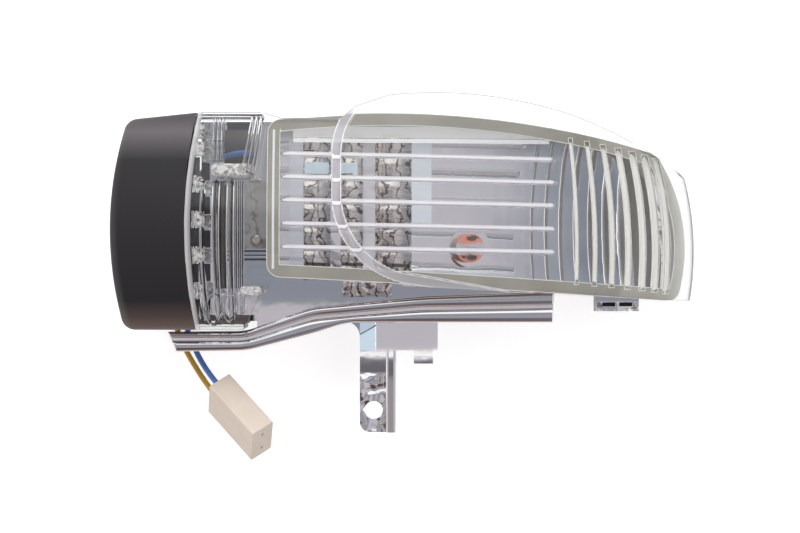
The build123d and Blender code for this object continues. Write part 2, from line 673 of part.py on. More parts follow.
def bulb_holder(contacts):
    seat = SOCKET_END_Y + SEAL_THICK
    flange_back = seat + HOLDER_FLANGE_THICK
    body = ring(0, SOCKET_RADIUS - HOLDER_CLEARANCE, HOLDER_FRONT_Y, seat)
    body += ring(0, HOLDER_FLANGE_RADIUS, seat, flange_back)
    grip = Box(GRIP_WIDTH, GRIP_LENGTH, GRIP_HEIGHT, align=(Align.CENTER, Align.MIN, Align.CENTER))
    grip = fillet(grip.edges().filter_by(Axis.Y), GRIP_ROUND)
    body += Pos(BULB_X, flange_back, BULB_Z) * grip
    width = WEDGE_WIDTH / 2 + SLIP
    thick = WEDGE_THICK / 2 + SLIP
    body -= slab((BULB_X - width, HOLDER_FRONT_Y, BULB_Z - thick),
                 (BULB_X + width, BULB_NECK_Y + WEDGE_LENGTH + SLIP, BULB_Z + thick))
    for piece in contacts:
        body -= piece
    return body


def holder_seal():
    return ring(SOCKET_RADIUS, SOCKET_RADIUS + SEAL_WALL, SOCKET_END_Y, SOCKET_END_Y + SEAL_THICK)


def cap_outline():
    low_left = (CAP_BOTTOM_LEFT_X, LENS_BOTTOM)
    outline = make_face([
        Line(low_left, (SEAM_X, LENS_BOTTOM)),
        seam(),
        Line((SEAM_X, LENS_TOP), CAP_TOP_LEFT),
        ThreePointArc(CAP_TOP_LEFT, CAP_BULGE, low_left),
    ])
    return fillet(outline.vertices().sort_by(Axis.X)[:2], CAP_CORNER)


def tongues():
    """Tongues of the cap that go in behind the edge of the lens, and its foot above the lens floor."""
    front = LENS_STEP + LENS_WALL + SLIP
    layer = behind_face(front) - behind_face(front + TONGUE_THICK)
    root_layer = behind_face(LENS_STEP + CAP_WALL / 2) - behind_face(front + TONGUE_THICK)
    root_right = SEAM_X - SEAM_BOW - SLIP
    root_left = root_right - TONGUE_ROOT
    pieces = []
    for index in range(TONGUE_COUNT):
        middle = TONGUE_FIRST - index * TONGUE_PITCH
        low = middle - TONGUE_HEIGHT / 2
        high = middle + TONGUE_HEIGHT / 2
        pieces.append(layer & block(root_left, SEAM_X + TONGUE_REACH, low, high))
        pieces.append(root_layer & block(root_left, root_right, low, high))
    floor = LENS_BOTTOM + LENS_WALL + SLIP
    pieces.append(slab((root_left, FOOT_FRONT_Y, floor), (FOOT_RIGHT, FOOT_BACK_Y, floor + FOOT_THICK)))
    pieces.append(slab((root_left, FOOT_FRONT_Y, LENS_BOTTOM + CAP_WALL / 2),
                       (root_right, FOOT_BACK_Y, floor + FOOT_THICK)))
    return pieces


def wire_cover():
    """Flap of the cap that closes the bay's opening from behind the wires."""
    left = SEAM_X - SEAM_BOW - TONGUE_ROOT
    back = COVER_FRONT_Y + COVER_THICK
    arm_low = COVER_HIGH - COVER_ARM
    flap = slab((COVER_LEFT, COVER_FRONT_Y, COVER_LOW), (COVER_RIGHT, back, COVER_HIGH))
    root = slab((left, CAP_BACK_Y - CAP_WALL, arm_low), (SEAM_X - SEAM_BOW, back, COVER_HIGH))
    arm = slab((left, COVER_FRONT_Y, arm_low), (COVER_LEFT, back, COVER_HIGH))
    return flap + root + arm


def end_cap():
    outline = cap_outline()
    solid = behind_face(LENS_STEP) & prism(outline) & slab((-THROUGH, -THROUGH, 0), (0, CAP_BACK_Y, THROUGH))
    rims = solid.edges().filter_by(lambda edge: edge.center().X < SEAM_X - TONGUE_ROOT)
    front_and_back = [edge for edge in rims if abs(edge.tangent_at(0.5).Y) < 0.5]
    solid = fillet(front_and_back, CAP_EDGE)
    mouth = Rectangle(2 * (CAP_CORNER + SEAM_BOW), LENS_TOP - LENS_BOTTOM - 2 * CAP_WALL - CAP_CORNER)
    inside = offset(outline, -CAP_WALL) + Pos(SEAM_X, (LENS_TOP + LENS_BOTTOM) / 2) * mouth
    hollow = behind_face(LENS_STEP + CAP_WALL) & prism(inside) & slab(
        (-THROUGH, -THROUGH, 0), (0, CAP_BACK_Y - CAP_WALL, THROUGH))
    cap = solid - hollow
    for piece in tongues() + [wire_cover()]:
        cap += piece
    return cap


def connector_frame(along, level):
    """Plane across the connector: along its axis from its centre, and to one side for each way."""
    side = CONNECTOR_AXIS.cross(CONNECTOR_ACROSS).normalized()
    origin = CONNECTOR_CENTRE + CONNECTOR_AXIS * along + side * level
    return Plane(origin=origin, x_dir=side, z_dir=CONNECTOR_AXIS)


def terminal(side):
    """Crimped terminal of one way: a flat sleeve whose back is the end of the wire."""
    level = side * TERMINAL_SPACING / 2
    length = CONNECTOR_LENGTH - WIRE_ENTRY_DEPTH - TERMINAL_INSET
    back = WIRE_ENTRY_DEPTH - CONNECTOR_LENGTH / 2
    section = RectangleRounded(TERMINAL_WIDTH, TERMINAL_THICK, TERMINAL_ROUND)
    return extrude(connector_frame(back, level) * section, length)


def connector_housing():
    half = CONNECTOR_LENGTH / 2
    section = RectangleRounded(CONNECTOR_WIDTH, CONNECTOR_THICK, CONNECTOR_ROUND)
    body = extrude(connector_frame(-half, 0) * section, CONNECTOR_LENGTH)
    for side in (-1, 1):
        level = side * TERMINAL_SPACING / 2
        body -= terminal(side)
        body -= extrude(connector_frame(-half, level) * Circle(WIRE_DIAMETER / 2 + SLIP), WIRE_ENTRY_DEPTH)
        body -= extrude(connector_frame(half, level) * Circle(PROBE_RADIUS), -TERMINAL_INSET)
    return body


def wire_route(side, middle):
    """Hand-chosen points of one wire between its crimp and its way of the connector."""
    near = WEDGE_THICK / 2 + SLIP + CONTACT_THICK / 2
    start = Vector(BULB_X - GRIP_WIDTH / 2 - CRIMP_LENGTH, CONTACT_TAIL_Y, BULB_Z + side * near)
    entry = connector_frame(WIRE_ENTRY_DEPTH - CONNECTOR_LENGTH / 2, -side * TERMINAL_SPACING / 2).origin
    out = start - Vector(WIRE_STRAIGHT, 0, 0)
    return [start, out] + [Vector(*point) for point in middle] + [entry - CONNECTOR_AXIS * WIRE_STRAIGHT, entry]


def wire(name, route):
    radii = []
    for before, corner, after in zip(route, route[1:], route[2:]):
        turn = math.radians((corner - before).get_angle(after - corner))
        shorter = min((corner - before).length, (after - corner).length)
        radii.append(WIRE_ARC_SHARE * shorter / math.tan(turn / 2))
    path = FilletPolyline(*route, radius=radii)
    tube = sweep(Plane(origin=path @ 0, z_dir=path % 0) * Circle(WIRE_DIAMETER / 2), path)
    share = tube.volume / (path.length * math.pi * WIRE_DIAMETER ** 2 / 4)
    print(name, "length", round(path.length, 1), "volume over section times length", round(share, 4))
    print(name, "radii", [round(radius, 1) for radius in radii])
    return tube


def export(name, shape):
    export_step(shape, f"parts/{name}.step")


def main():
    os.makedirs("parts", exist_ok=True)
    lens = outer_lens()
    export("outer_lens", lens)
    export("weld_bead", weld_bead(lens))
    export("reflector_housing", reflector_housing())
    export("end_cap", end_cap())
    export("bulb", bulb())
    contacts = {"contact_lower": contact(-1), "contact_upper": contact(1)}
    for name, shape in contacts.items():
        export(name, shape)
    export("bulb_holder", bulb_holder(contacts.values()))
    export("holder_seal", holder_seal())
    export("terminal_yellow", terminal(1))
    export("terminal_blue", terminal(-1))
    export("connector_housing", connector_housing())
    export("wire_yellow", wire("wire_yellow", wire_route(-1, YELLOW_MIDDLE)))
    export("wire_blue", wire("wire_blue", wire_route(1, BLUE_MIDDLE)))


if __name__ == "__main__":
    main()
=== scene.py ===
import functools
import math

import bmesh
import bpy
from mathutils import Matrix, Vector


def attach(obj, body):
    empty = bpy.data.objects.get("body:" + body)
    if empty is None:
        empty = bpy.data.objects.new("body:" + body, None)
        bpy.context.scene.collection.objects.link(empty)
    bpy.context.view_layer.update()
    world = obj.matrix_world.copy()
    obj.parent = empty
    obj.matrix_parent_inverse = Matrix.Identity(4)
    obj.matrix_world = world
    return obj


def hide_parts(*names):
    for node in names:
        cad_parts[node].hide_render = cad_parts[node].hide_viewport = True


# Looks of the side repeater lamp: metres, +X to the wrapped end, +Z up, lens towards -Y.
# The lamp lies on its back on a white table, which is the upright plane behind it here.

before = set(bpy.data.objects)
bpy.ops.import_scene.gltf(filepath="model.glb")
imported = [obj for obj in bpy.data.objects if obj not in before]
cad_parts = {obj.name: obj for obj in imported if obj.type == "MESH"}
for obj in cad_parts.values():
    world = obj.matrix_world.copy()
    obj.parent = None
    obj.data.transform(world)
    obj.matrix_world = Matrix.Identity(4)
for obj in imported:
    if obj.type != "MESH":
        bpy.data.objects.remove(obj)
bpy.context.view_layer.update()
scene = bpy.context.scene
MM = 0.001


# Camera

CAMERA_DISTANCE = 1.0
REFERENCE_Y = -0.010
PICTURE_WIDTH = 0.280
PICTURE_CENTRE = (0.0093, 0.05075)
SENSOR_WIDTH = 36


def make_camera():
    """Camera straight in front of the lens, with the picture's width at the reference plane."""
    data = bpy.data.cameras.new("camera")
    data.sensor_width = SENSOR_WIDTH
    data.lens = SENSOR_WIDTH * CAMERA_DISTANCE / PICTURE_WIDTH
    camera = bpy.data.objects.new("camera", data)
    camera.location = (PICTURE_CENTRE[0], REFERENCE_Y - CAMERA_DISTANCE, PICTURE_CENTRE[1])
    camera.rotation_euler = (math.radians(90), 0, 0)
    scene.collection.objects.link(camera)
    scene.camera = camera


make_camera()


# Wires: routes and diameter in millimetres, lengths in metres

WIRE_DIAMETER = 2.0
YELLOW_ROUTE = (
    (20.3, 17.6, 54.9), (10.3, 17.6, 54.9), (-5.0, 12.5, 63.5), (-19.5, 8.8, 75.0), (-34.5, 10.2, 85.5),
    (-50.5, 12.2, 87.5), (-63.5, 16.4, 77.0), (-70.5, 18.6, 61.0), (-73.2, 18.6, 43.5), (-71.5, 18.0, 27.0),
    (-59.95, 14.68, 7.74), (-53.64, 10.58, 1.16))
BLUE_ROUTE = (
    (20.3, 17.6, 59.5), (10.3, 17.6, 59.5), (-5.5, 12.5, 68.0), (-20.0, 8.8, 79.4), (-35.0, 10.2, 90.0),
    (-51.0, 12.2, 92.0), (-64.5, 17.0, 83.0), (-70.0, 21.0, 67.5), (-71.0, 21.8, 50.0), (-69.2, 19.5, 34.0),
    (-65.2, 14.0, 23.0), (-59.25, 7.72, 12.75), (-52.94, 3.62, 6.16))


def make_wire(name, route):
    """A round insulated wire along its route."""
    curve = bpy.data.curves.new(name, "CURVE")
    curve.dimensions = "3D"
    curve.bevel_depth = 1.0
    curve.bevel_resolution = 6
    curve.resolution_u = 16
    curve.use_fill_caps = True
    spline = curve.splines.new("NURBS")
    spline.points.add(len(route) - 1)
    for point, place in zip(spline.points, route):
        point.co = (*[value * MM for value in place], 1)
        point.radius = WIRE_DIAMETER / 2 * MM
    spline.order_u = 3
    spline.use_endpoint_u = True
    wire = bpy.data.objects.new(name, curve)
    scene.collection.objects.link(wire)
    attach(wire, "root")
    return wire


yellow_wire = make_wire("wire_yellow_insulation", YELLOW_ROUTE)
blue_wire = make_wire("wire_blue_insulation", BLUE_ROUTE)
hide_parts("wire_yellow")
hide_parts("wire_blue")


# Bulb, in millimetres

BULB_X = 33.8
BULB_Z = 57.2
LOBE_HEIGHT = 3.3
LOBE_HALF = (5.59, 2.0)
LOBE_LUMPS = 1.6


# Lens, in millimetres and degrees: its face is two arcs in plan, crowned by a third

FACE_RADIUS = 420.0
FACE_CENTRE = (-34.7, 389.0)
END_RADIUS = 62.0
END_CENTRE = (55.54, 42.56)
END_HEADING = 14.6
LAST_HEADING = 78.3
CROWN_RADIUS = 110.0
CROWN_HEIGHT = 56.0
LENS_WALL = 2.2
WELD_CLEARANCE = 0.08
MID_HEIGHT = 68.0

# Its outline from the front: straight edges at the left, then an arc through three points
LENS_TOP = 104.4
LENS_BOTTOM = 28.8
TOP_EDGE = ((-70.0, LENS_TOP), (-38.5, LENS_TOP), (-31.6, 102.4), (-10.6, 102.2), (-5.7, 106.6), (6.9, 110.8))
TOP_ARC = (TOP_EDGE[-1], (66.0, 106.2), (118.0, 81.0))
BOTTOM_EDGE = ((-70.0, LENS_BOTTOM), (-44.5, LENS_BOTTOM), (-36.5, 46.7))
BOTTOM_ARC = (BOTTOM_EDGE[-1], (44.0, 42.2), (126.0, 37.7))

# Its seam with the cap, and the rims where a pale highlight is painted
SEAM_X = -61.5
SEAM_BOW = 3.6
SEAM_FADE = 16.0
SEAM_RIM = 5.2
LENS_RIM = 1.6
LEFT_END_X = -38.0
TOP_RIM_END_X = 96.0

# Its step: an upright stretch, a bend at each end of it, and a sloped stretch from the lower bend
LENS_STEP = 1.8
STEP_X = -12.6
STEP_WIDTH = 3.6
STEP_SOFT = 0.16
STEP_UPRIGHT = (76.0, 90.0)
STEP_BENDS = (30.0, 26.0)
STEP_RUN = 24.8
STEP_RUN_HEIGHT = 46.5
STEP_RUN_SLOPE = 0.176
STEP_MARK_TOP = 105.0
STEP_SLOPE_SHARES = (0.03, 0.97)

# Rods on its inside: ribs across, flutes and ridges upright
RIB_COUNT = 5
RIB_RADIUS = 0.85
RIB_ENDS = (-30.0, 62.3)
RIB_TOP = 88.9
RIB_PITCH = 8.0
RIB_FALL = 0.0192
RIB_DIP = 0.9
RIB_DIP_SHARE = 0.18
FLUTE_COUNT = 7
FLUTE_PITCH = 7.03
FLUTE_RADIUS = 0.75
FLUTE_GROWTH = 0.2
FLUTE_SPAN = (46.7, 93.1)
FLUTE_SPAN_FALL = (0.55, 1.1)
RIDGES = ((-59.0, 0.6), (-57.0, 1.1), (-52.8, 1.1), (-48.6, 1.1))
RIDGE_SPAN = (34.0, 79.0)

# Its grid: stretches of columns by start, pitch and count, then single columns and shares of a rod's radius
COLUMN_RUNS = ((SEAM_X, 1.5, 19), (-33.0, 1.2, 14), (-16.0, 0.6, 87), (36.5, 1.5, 17))
RIB_END_COLUMNS = (61.6, 62.3, 62.6, 62.85, 63.0, 63.12, 63.18, 63.4, 64.5, 66.0, 67.5, 69.0)
FLUTE_GAP_COLUMNS = (0.38, 0.5, 0.62)
LAST_COLUMNS = 14
ROD_EDGE = 1.12
ROD_SHARES = (-ROD_EDGE, -1.0, -0.96, -0.86, -0.7, -0.48, -0.24, 0.0,
              0.24, 0.48, 0.7, 0.86, 0.96, 1.0, ROD_EDGE)
ROWS_BELOW = 18
ROWS_BETWEEN = 7
ROWS_ABOVE = 15
EVEN_ROWS = (64.0, 84.0)
MARKS = ("step", "rib", "flute", "rim")


# Materials

def linear(code):
    """An sRGB hex colour as linear values."""
    values = [int(code[i:i + 2], 16) / 255 for i in (0, 2, 4)]
    return [v / 12.92 if v <= 0.04045 else ((v + 0.055) / 1.055) ** 2.4 for v in values] + [1.0]


def add(tree, kind, inputs=(), output=0, stops=(), **settings):
    """A shader node: inputs are values, hex colours or links, and stops are a ramp's places and colours.

    A Mix node's two colours are its inputs 6 and 7, and the mixed colour is its output 2.
    """
    node = tree.nodes.new("ShaderNode" + kind)
    for key, value in settings.items():
        setattr(node, key, value)
    for key, value in inputs.items() if isinstance(inputs, dict) else enumerate(inputs):
        if isinstance(value, bpy.types.NodeSocket):
            tree.links.new(value, node.inputs[key])
        else:
            node.inputs[key].default_value = linear(value) if isinstance(value, str) else value
    for place, colour in stops[1:-1]:
        node.color_ramp.elements.new(place).color = linear(colour)
    for end in (0, -1) if stops else ():
        node.color_ramp.elements[end].position = stops[end][0]
        node.color_ramp.elements[end].color = linear(stops[end][1])
    return node.outputs[output]


def new_material(name):
    """An empty material, and the way to add nodes to it."""
    material = bpy.data.materials.new(name)
    material.use_nodes = True
    material.node_tree.nodes.remove(material.node_tree.nodes["Principled BSDF"])
    return material, functools.partial(add, material.node_tree)


def surface(material, shader, *layers):
    """Show a shader with others laid over it, each given with its share."""
    tree = material.node_tree
    for share, layer in layers:
        shader = add(tree, "MixShader", (share, shader, layer))
    tree.links.new(shader, tree.nodes["Material Output"].inputs["Surface"])
    return material


def millimetres(node):
    """Object coordinates in millimetres, so a pattern's scale is one over its real size."""
    place = node("TexCoord", output="Object")
    return node("VectorMath", {"Vector": place, "Scale": 1 / MM}, operation="SCALE")


def patch(node, x, z, x_low, x_high, z_low, z_high):
    """One inside a rectangle and nought outside."""
    spans = (x, x_low, x_high), (z, z_low, z_high)
    sides = [node("Math", (value, (low + high) / 2, (high - low) / 2), operation="COMPARE")
             for value, low, high in spans]
    return node("Math", sides, operation="MULTIPLY")


def painted_light(node, colour, glow=0.0):
    """A pale layer painted where clear acrylic's edges gather light and where the metal mirrors pale things:
    painted highlights and painted reflections, glowing as painted light by its glow.
    """
    return node("BsdfPrincipled", {"Base Color": colour, "Roughness": 0.3, "Emission Color": colour,
                                   "Emission Strength": glow})


# Low on the step, the painted highlight turns paler
LOWER_STEP = (66.0, 52.0)
LOWER_STEP_TINT = 0.5
# The ribs' painted glow
RIB_PAINTED_GLOW = 0.15


def clear_acrylic():
    """Clear moulded acrylic: bends what lies behind it.

    Where the mesh marks its step, ribs, flutes and rims, pale layers are painted over it as painted
    highlights: white edges round a lavender-grey band on the step, paler low down, white ribs with painted
    shade below them and a painted glow, white flutes, and pale rims.
    """
    material, node = new_material("clear_acrylic")
    place = millimetres(node)
    x, z = [node("SeparateXYZ", {"Vector": place}, axis) for axis in "XZ"]
    step, rib, flute, rim = [node("Attribute", output="Fac", attribute_name=name) for name in MARKS]
    # Painted highlight on the step: white edges round a lavender-grey band
    step_colour = node("ValToRGB", {"Fac": step}, stops=(
        (0.0, "ffffff"), (0.1, "ffffff"), (0.15, "cbc7ce"), (0.84, "c5c1c9"), (0.89, "ffffff"),
        (1.0, "ffffff")))
    step_cover = node("ValToRGB", {"Fac": step}, stops=(
        (0.02, "000000"), (0.05, "e8e8e8"), (0.1, "e0e0e0"), (0.15, "cecece"), (0.84, "cecece"),
        (0.89, "e8e8e8"), (0.94, "e8e8e8"), (0.98, "000000")))
    lower = node("MapRange", {"Value": z, "From Min": LOWER_STEP[0], "From Max": LOWER_STEP[1],
                              "To Max": LOWER_STEP_TINT})
    step_colour = node("Mix", {0: lower, 6: step_colour, 7: "eef0f6"}, 2, data_type="RGBA")
    # Painted highlight on the ribs: white above, with painted shade below
    rib_colour = node("ValToRGB", {"Fac": rib}, stops=(
        (0.05, "716a70"), (0.22, "a09ba6"), (0.42, "f4f2f6"), (1.0, "ffffff")))
    rib_cover = node("ValToRGB", {"Fac": rib}, stops=(
        (0.03, "000000"), (0.1, "d8d8d8"), (0.95, "f0f0f0"), (1.0, "f0f0f0")))
    # Painted highlights on the flutes, and on the rims and the seam with the cap
    flute_cover = node("ValToRGB", {"Fac": flute}, stops=(
        (0.45, "000000"), (0.6, "f0f0f0"), (1.0, "f4f4f4")))
    rim_cover = node("ValToRGB", {"Fac": rim}, stops=((0.65, "000000"), (0.7, "d0d0d0"), (1.0, "d0d0d0")))
    seam_colour = node("ValToRGB", {"Fac": rim}, stops=(
        (0.66, "a5a3a6"), (0.8, "cfcdce"), (0.9, "f4f3f2"), (1.0, "cfccce")))
    left = node("Math", (x, LEFT_END_X), operation="LESS_THAN")
    rim_colour = node("Mix", {0: left, 6: "a9a7ab", 7: seam_colour}, 2, data_type="RGBA")
    clear = node("BsdfPrincipled", {"Base Color": "fbfcfc", "Roughness": 0.0, "IOR": 1.49,
                                    "Transmission Weight": 1.0})
    return surface(material, clear, (flute_cover, painted_light(node, "fbf8f2")),
                   (step_cover, painted_light(node, step_colour)), (rib_cover, painted_light(node, rib_colour, RIB_PAINTED_GLOW)),
                   (rim_cover, painted_light(node, rim_colour)),
                   (node("LightPath", output="Is Shadow Ray"), node("BsdfTransparent")))


def uneven_acrylic():
    """Clear acrylic with an uneven moulded surface, and broken white glints painted over it as painted
    highlights.
    """
    material, node = new_material("uneven_acrylic")
    place = millimetres(node)
    lumps = node("TexNoise", {"Vector": place, "Scale": 1 / 2.0})
    bump = node("Bump", {"Height": lumps, "Distance": 1.6 * MM})
    # Painted highlight: white glints in noise patches
    glints = node("TexNoise", {"Vector": place, "Scale": 1 / 1.5})
    cover = node("ValToRGB", {"Fac": glints}, stops=((0.42, "000000"), (0.54, "d8d8d8")))
    clear = node("BsdfPrincipled", {"Base Color": "fbfcfc", "Roughness": 0.02, "IOR": 1.49,
                                    "Transmission Weight": 1.0, "Normal": bump})
    return surface(material, clear, (cover, painted_light(node, "f3efec")),
                   (node("LightPath", output="Is Shadow Ray"), node("BsdfTransparent")))


# Places on the metal in millimetres: x low and high, z low and high, then any share, glow and colour
# Where dark curved lines and spots are painted as painted reflections
PILLOWS = (
    (-24.5, -15.1, 46.0, 98.0), (-11.6, -3.8, 46.0, 98.0), (0.5, 13.3, 46.0, 98.0),
    (-45.4, -37.4, 57.0, 81.0), (-11.0, 6.5, 40.0, 45.0))
LUMPY = ((-5.0, 4.4, -8.0, 13.2), (79.0, 94.5, 34.0, 38.2), (-11.0, 6.5, 40.6, 47.0))
# Where a pale blue reflection is painted on the plate
PLATE_BLUE_REFLECTION = (-10.0, 0.6, 21.2, 31.2)
# Painted shade and painted dark reflections
PAINTED_DARK_STRIPS = (
    (-56.3, -51.5, 43.0, 81.0, "655e5a"), (-46.0, -37.0, 55.9, 56.5, "5a5552"),
    (-46.0, -37.0, 54.5, 55.0, "5a5552"), (-46.0, -37.0, 52.9, 53.6, "5a5552"),
    (-52.0, -40.0, 98.0, 103.0, "5c6168"))
# Painted pale reflections; the last two also glow as painted light
PAINTED_PALE_STRIPS = (
    (-29.4, -24.5, 49.0, 95.0, 0.55, 0.0, "d9dce6"), (-3.8, 0.5, 49.0, 95.0, 0.55, 0.0, "cfcbd0"),
    (13.3, 20.3, 66.0, 95.0, 0.6, 0.0, "e4eff6"), (-45.4, -37.4, 57.0, 81.0, 0.55, 0.0, "a39c96"),
    (-24.2, -15.6, 81.8, 87.0, 0.75, 0.0, "daeefa"), (-11.2, -5.6, 82.6, 87.0, 0.75, 0.0, "daeefa"),
    (-10.0, -4.9, 26.5, 31.2, 0.8, 0.0, "c9d6e4"), (-28.0, 62.0, 95.5, 99.5, 0.95, 0.3, "e6e4e4"),
    (-28.0, 62.0, 93.9, 95.3, 0.95, 0.3, "ffffff"))
FRONT_NORMAL_Y = -0.2
PLATE_WAVER = 2.4
RIPPLE_DEPTH = 0.004
LUMP_DEPTH = 1.9
# A wave pattern of scale one repeats after a tenth of pi
PILLOW_LINE_SCALE = math.pi / 10 / 4.19


def metallised_plastic():
    """Vacuum-metallised plastic: a bright mirror, slightly wavy, and lumpy in a few places.

    What its pillows and walls mirror of each other is painted as painted reflections: dark curved lines and
    spots, a pale blue patch on the plate, and pale or dark strips. Some dark strips are painted shade, and
    two pale strips glow.
    """
    material, node = new_material("metallised_plastic")
    place = millimetres(node)
    x, z = [node("SeparateXYZ", {"Vector": place}, axis) for axis in "XZ"]
    outward = node("SeparateXYZ", {"Vector": node("NewGeometry", output="Normal")}, "Y")
    facing = node("Math", (outward, FRONT_NORMAL_Y), operation="LESS_THAN")
    pillows = 0.0
    for span in PILLOWS:
        pillows = node("Math", (pillows, patch(node, x, z, *span)), operation="MAXIMUM")
    pillows = node("Math", (pillows, facing), operation="MULTIPLY")
    # Painted reflections on the pillows: dark curved lines and spots
    wave = node("TexWave", {"Vector": place, "Scale": PILLOW_LINE_SCALE, "Distortion": 9.0, "Detail": 2.0,
                            "Detail Scale": 2.5}, "Fac")
    lines = node("ValToRGB", {"Fac": wave}, stops=((0.03, "ffffff"), (0.13, "000000")))
    reflection_blots = node("TexNoise", {"Vector": place, "Scale": 1 / 2.4})
    spots = node("ValToRGB", {"Fac": reflection_blots}, stops=((0.64, "000000"), (0.7, "b0b0b0")))
    marks = node("Math", (lines, spots), operation="MAXIMUM")
    pillow_colour = node("Mix", {0: marks, 6: "ebe3dc", 7: "756a63"}, 2, data_type="RGBA")
    colour = node("Mix", {0: pillows, 6: "f5f4f5", 7: pillow_colour}, 2, data_type="RGBA")
    sway = node("TexNoise", {"Vector": place, "Scale": 1 / 3.0})
    shifted = node("Math", (x, PLATE_WAVER / 2), operation="SUBTRACT")
    wavy = node("Math", (sway, PLATE_WAVER, shifted), operation="MULTIPLY_ADD")
    # Painted pale blue reflection on the plate, and the painted dark strips
    painted_tints = [(patch(node, wavy, z, *PLATE_BLUE_REFLECTION), "bccbd9")]
    painted_tints += [(patch(node, x, z, *span), tint) for *span, tint in PAINTED_DARK_STRIPS]
    for span, tint in painted_tints:
        share = node("Math", (span, facing), operation="MULTIPLY")
        colour = node("Mix", {0: share, 6: colour, 7: tint}, 2, data_type="RGBA")
    ripple = node("TexNoise", {"Vector": place, "Scale": 1 / 9.0})
    wavy_face = node("Bump", {"Height": ripple, "Distance": RIPPLE_DEPTH * MM})
    swell = node("TexNoise", {"Vector": place, "Scale": 1 / 5.0, "Detail": 1.0})
    lumpy = 0.0
    for span in LUMPY:
        lumpy = node("Math", (lumpy, patch(node, x, z, *span)), operation="MAXIMUM")
    height = node("Math", (swell, lumpy), operation="MULTIPLY")
    lumps = node("Bump", {"Height": height, "Distance": LUMP_DEPTH * MM, "Normal": wavy_face})
    mirror = node("BsdfPrincipled", {"Base Color": colour, "Metallic": 1.0, "Roughness": 0.02,
                                     "Normal": lumps})
    # Painted pale reflections, some glowing
    layers = []
    for *span, weight, glow, pale in PAINTED_PALE_STRIPS:
        share = node("Math", (patch(node, x, z, *span), facing), operation="MULTIPLY")
        layers.append((node("Math", (share, weight), operation="MULTIPLY"), painted_light(node, pale, glow)))
    return surface(material, mirror, *layers)


GLOSS_SPREAD = 0.2
GRAIN_DEPTH = 0.02


def moulded(name, pale, dark, cloud, roughness, grain, metallic=0.0):
    """A plain finish: soft clouds of two tones, uneven gloss and a grain.

    Cloud and grain are in millimetres. The grain is drawn coarser than a real one, so that it shows.
    """
    material, node = new_material(name)
    place = millimetres(node)
    clouds = node("TexNoise", {"Vector": place, "Scale": 1 / cloud})
    grains = node("TexNoise", {"Vector": place, "Scale": 1 / grain})
    colour = node("Mix", {0: clouds, 6: dark, 7: pale}, 2, data_type="RGBA")
    gloss = node("Math", (grains, GLOSS_SPREAD, roughness - GLOSS_SPREAD / 2), operation="MULTIPLY_ADD")
    bump = node("Bump", {"Height": grains, "Distance": GRAIN_DEPTH * MM})
    return surface(material, node("BsdfPrincipled", {"Base Color": colour, "Roughness": gloss,
                                                     "Metallic": metallic, "Normal": bump}))


def black_plastic():
    """Black moulded plastic: charcoal, with a painted paler sheen along the top, a painted brownish
    reflection along the foot, and a little dust.
    """
    material, node = new_material("black_moulded_plastic")
    place = millimetres(node)
    height = node("Math", (node("SeparateXYZ", {"Vector": place}, "Z"), LENS_TOP), operation="DIVIDE")
    # Painted light by height: a brownish painted reflection at the foot, a paler painted sheen near the top
    colour = node("ValToRGB", {"Fac": height}, stops=(
        (0.278, "776660"), (0.316, "4e4340"), (0.373, "211e22"), (0.84, "201d21"), (0.885, "4b4648"),
        (0.935, "686265"), (1.0, "413d3f")))
    specks = node("TexNoise", {"Vector": place, "Scale": 1 / 0.7, "Detail": 3.0})
    dust = node("ValToRGB", {"Fac": specks}, stops=((0.74, "000000"), (0.8, "808080")))
    colour = node("Mix", {0: dust, 6: colour, 7: "8d8686"}, 2, data_type="RGBA")
    return surface(material, node("BsdfPrincipled", {"Base Color": colour, "Roughness": 0.42}))


# Places on the weld where pale lines are painted as painted highlights, in millimetres: x low and high, z low
# and high
WELD_HIGHLIGHT_SPANS = ((-34.8, -34.0, 50.0, 98.0), (-32.4, -31.8, 52.0, 98.0))


def weld_joint():
    """Weld seen through the lens: beige-grey, with two pale painted highlight lines along its upright left
    side.
    """
    material, node = new_material("weld_joint")
    place = millimetres(node)
    x, z = [node("SeparateXYZ", {"Vector": place}, axis) for axis in "XZ"]
    clouds = node("TexNoise", {"Vector": place, "Scale": 1 / 14.0})
    colour = node("ValToRGB", {"Fac": clouds}, stops=((0.3, "938f83"), (0.7, "a29e92")))
    # Painted highlight: two pale lines
    for span in WELD_HIGHLIGHT_SPANS:
        colour = node("Mix", {0: patch(node, x, z, *span), 6: colour, 7: "e6ebec"}, 2, data_type="RGBA")
    return surface(material, node("BsdfPrincipled", {"Base Color": colour, "Roughness": 0.5}))


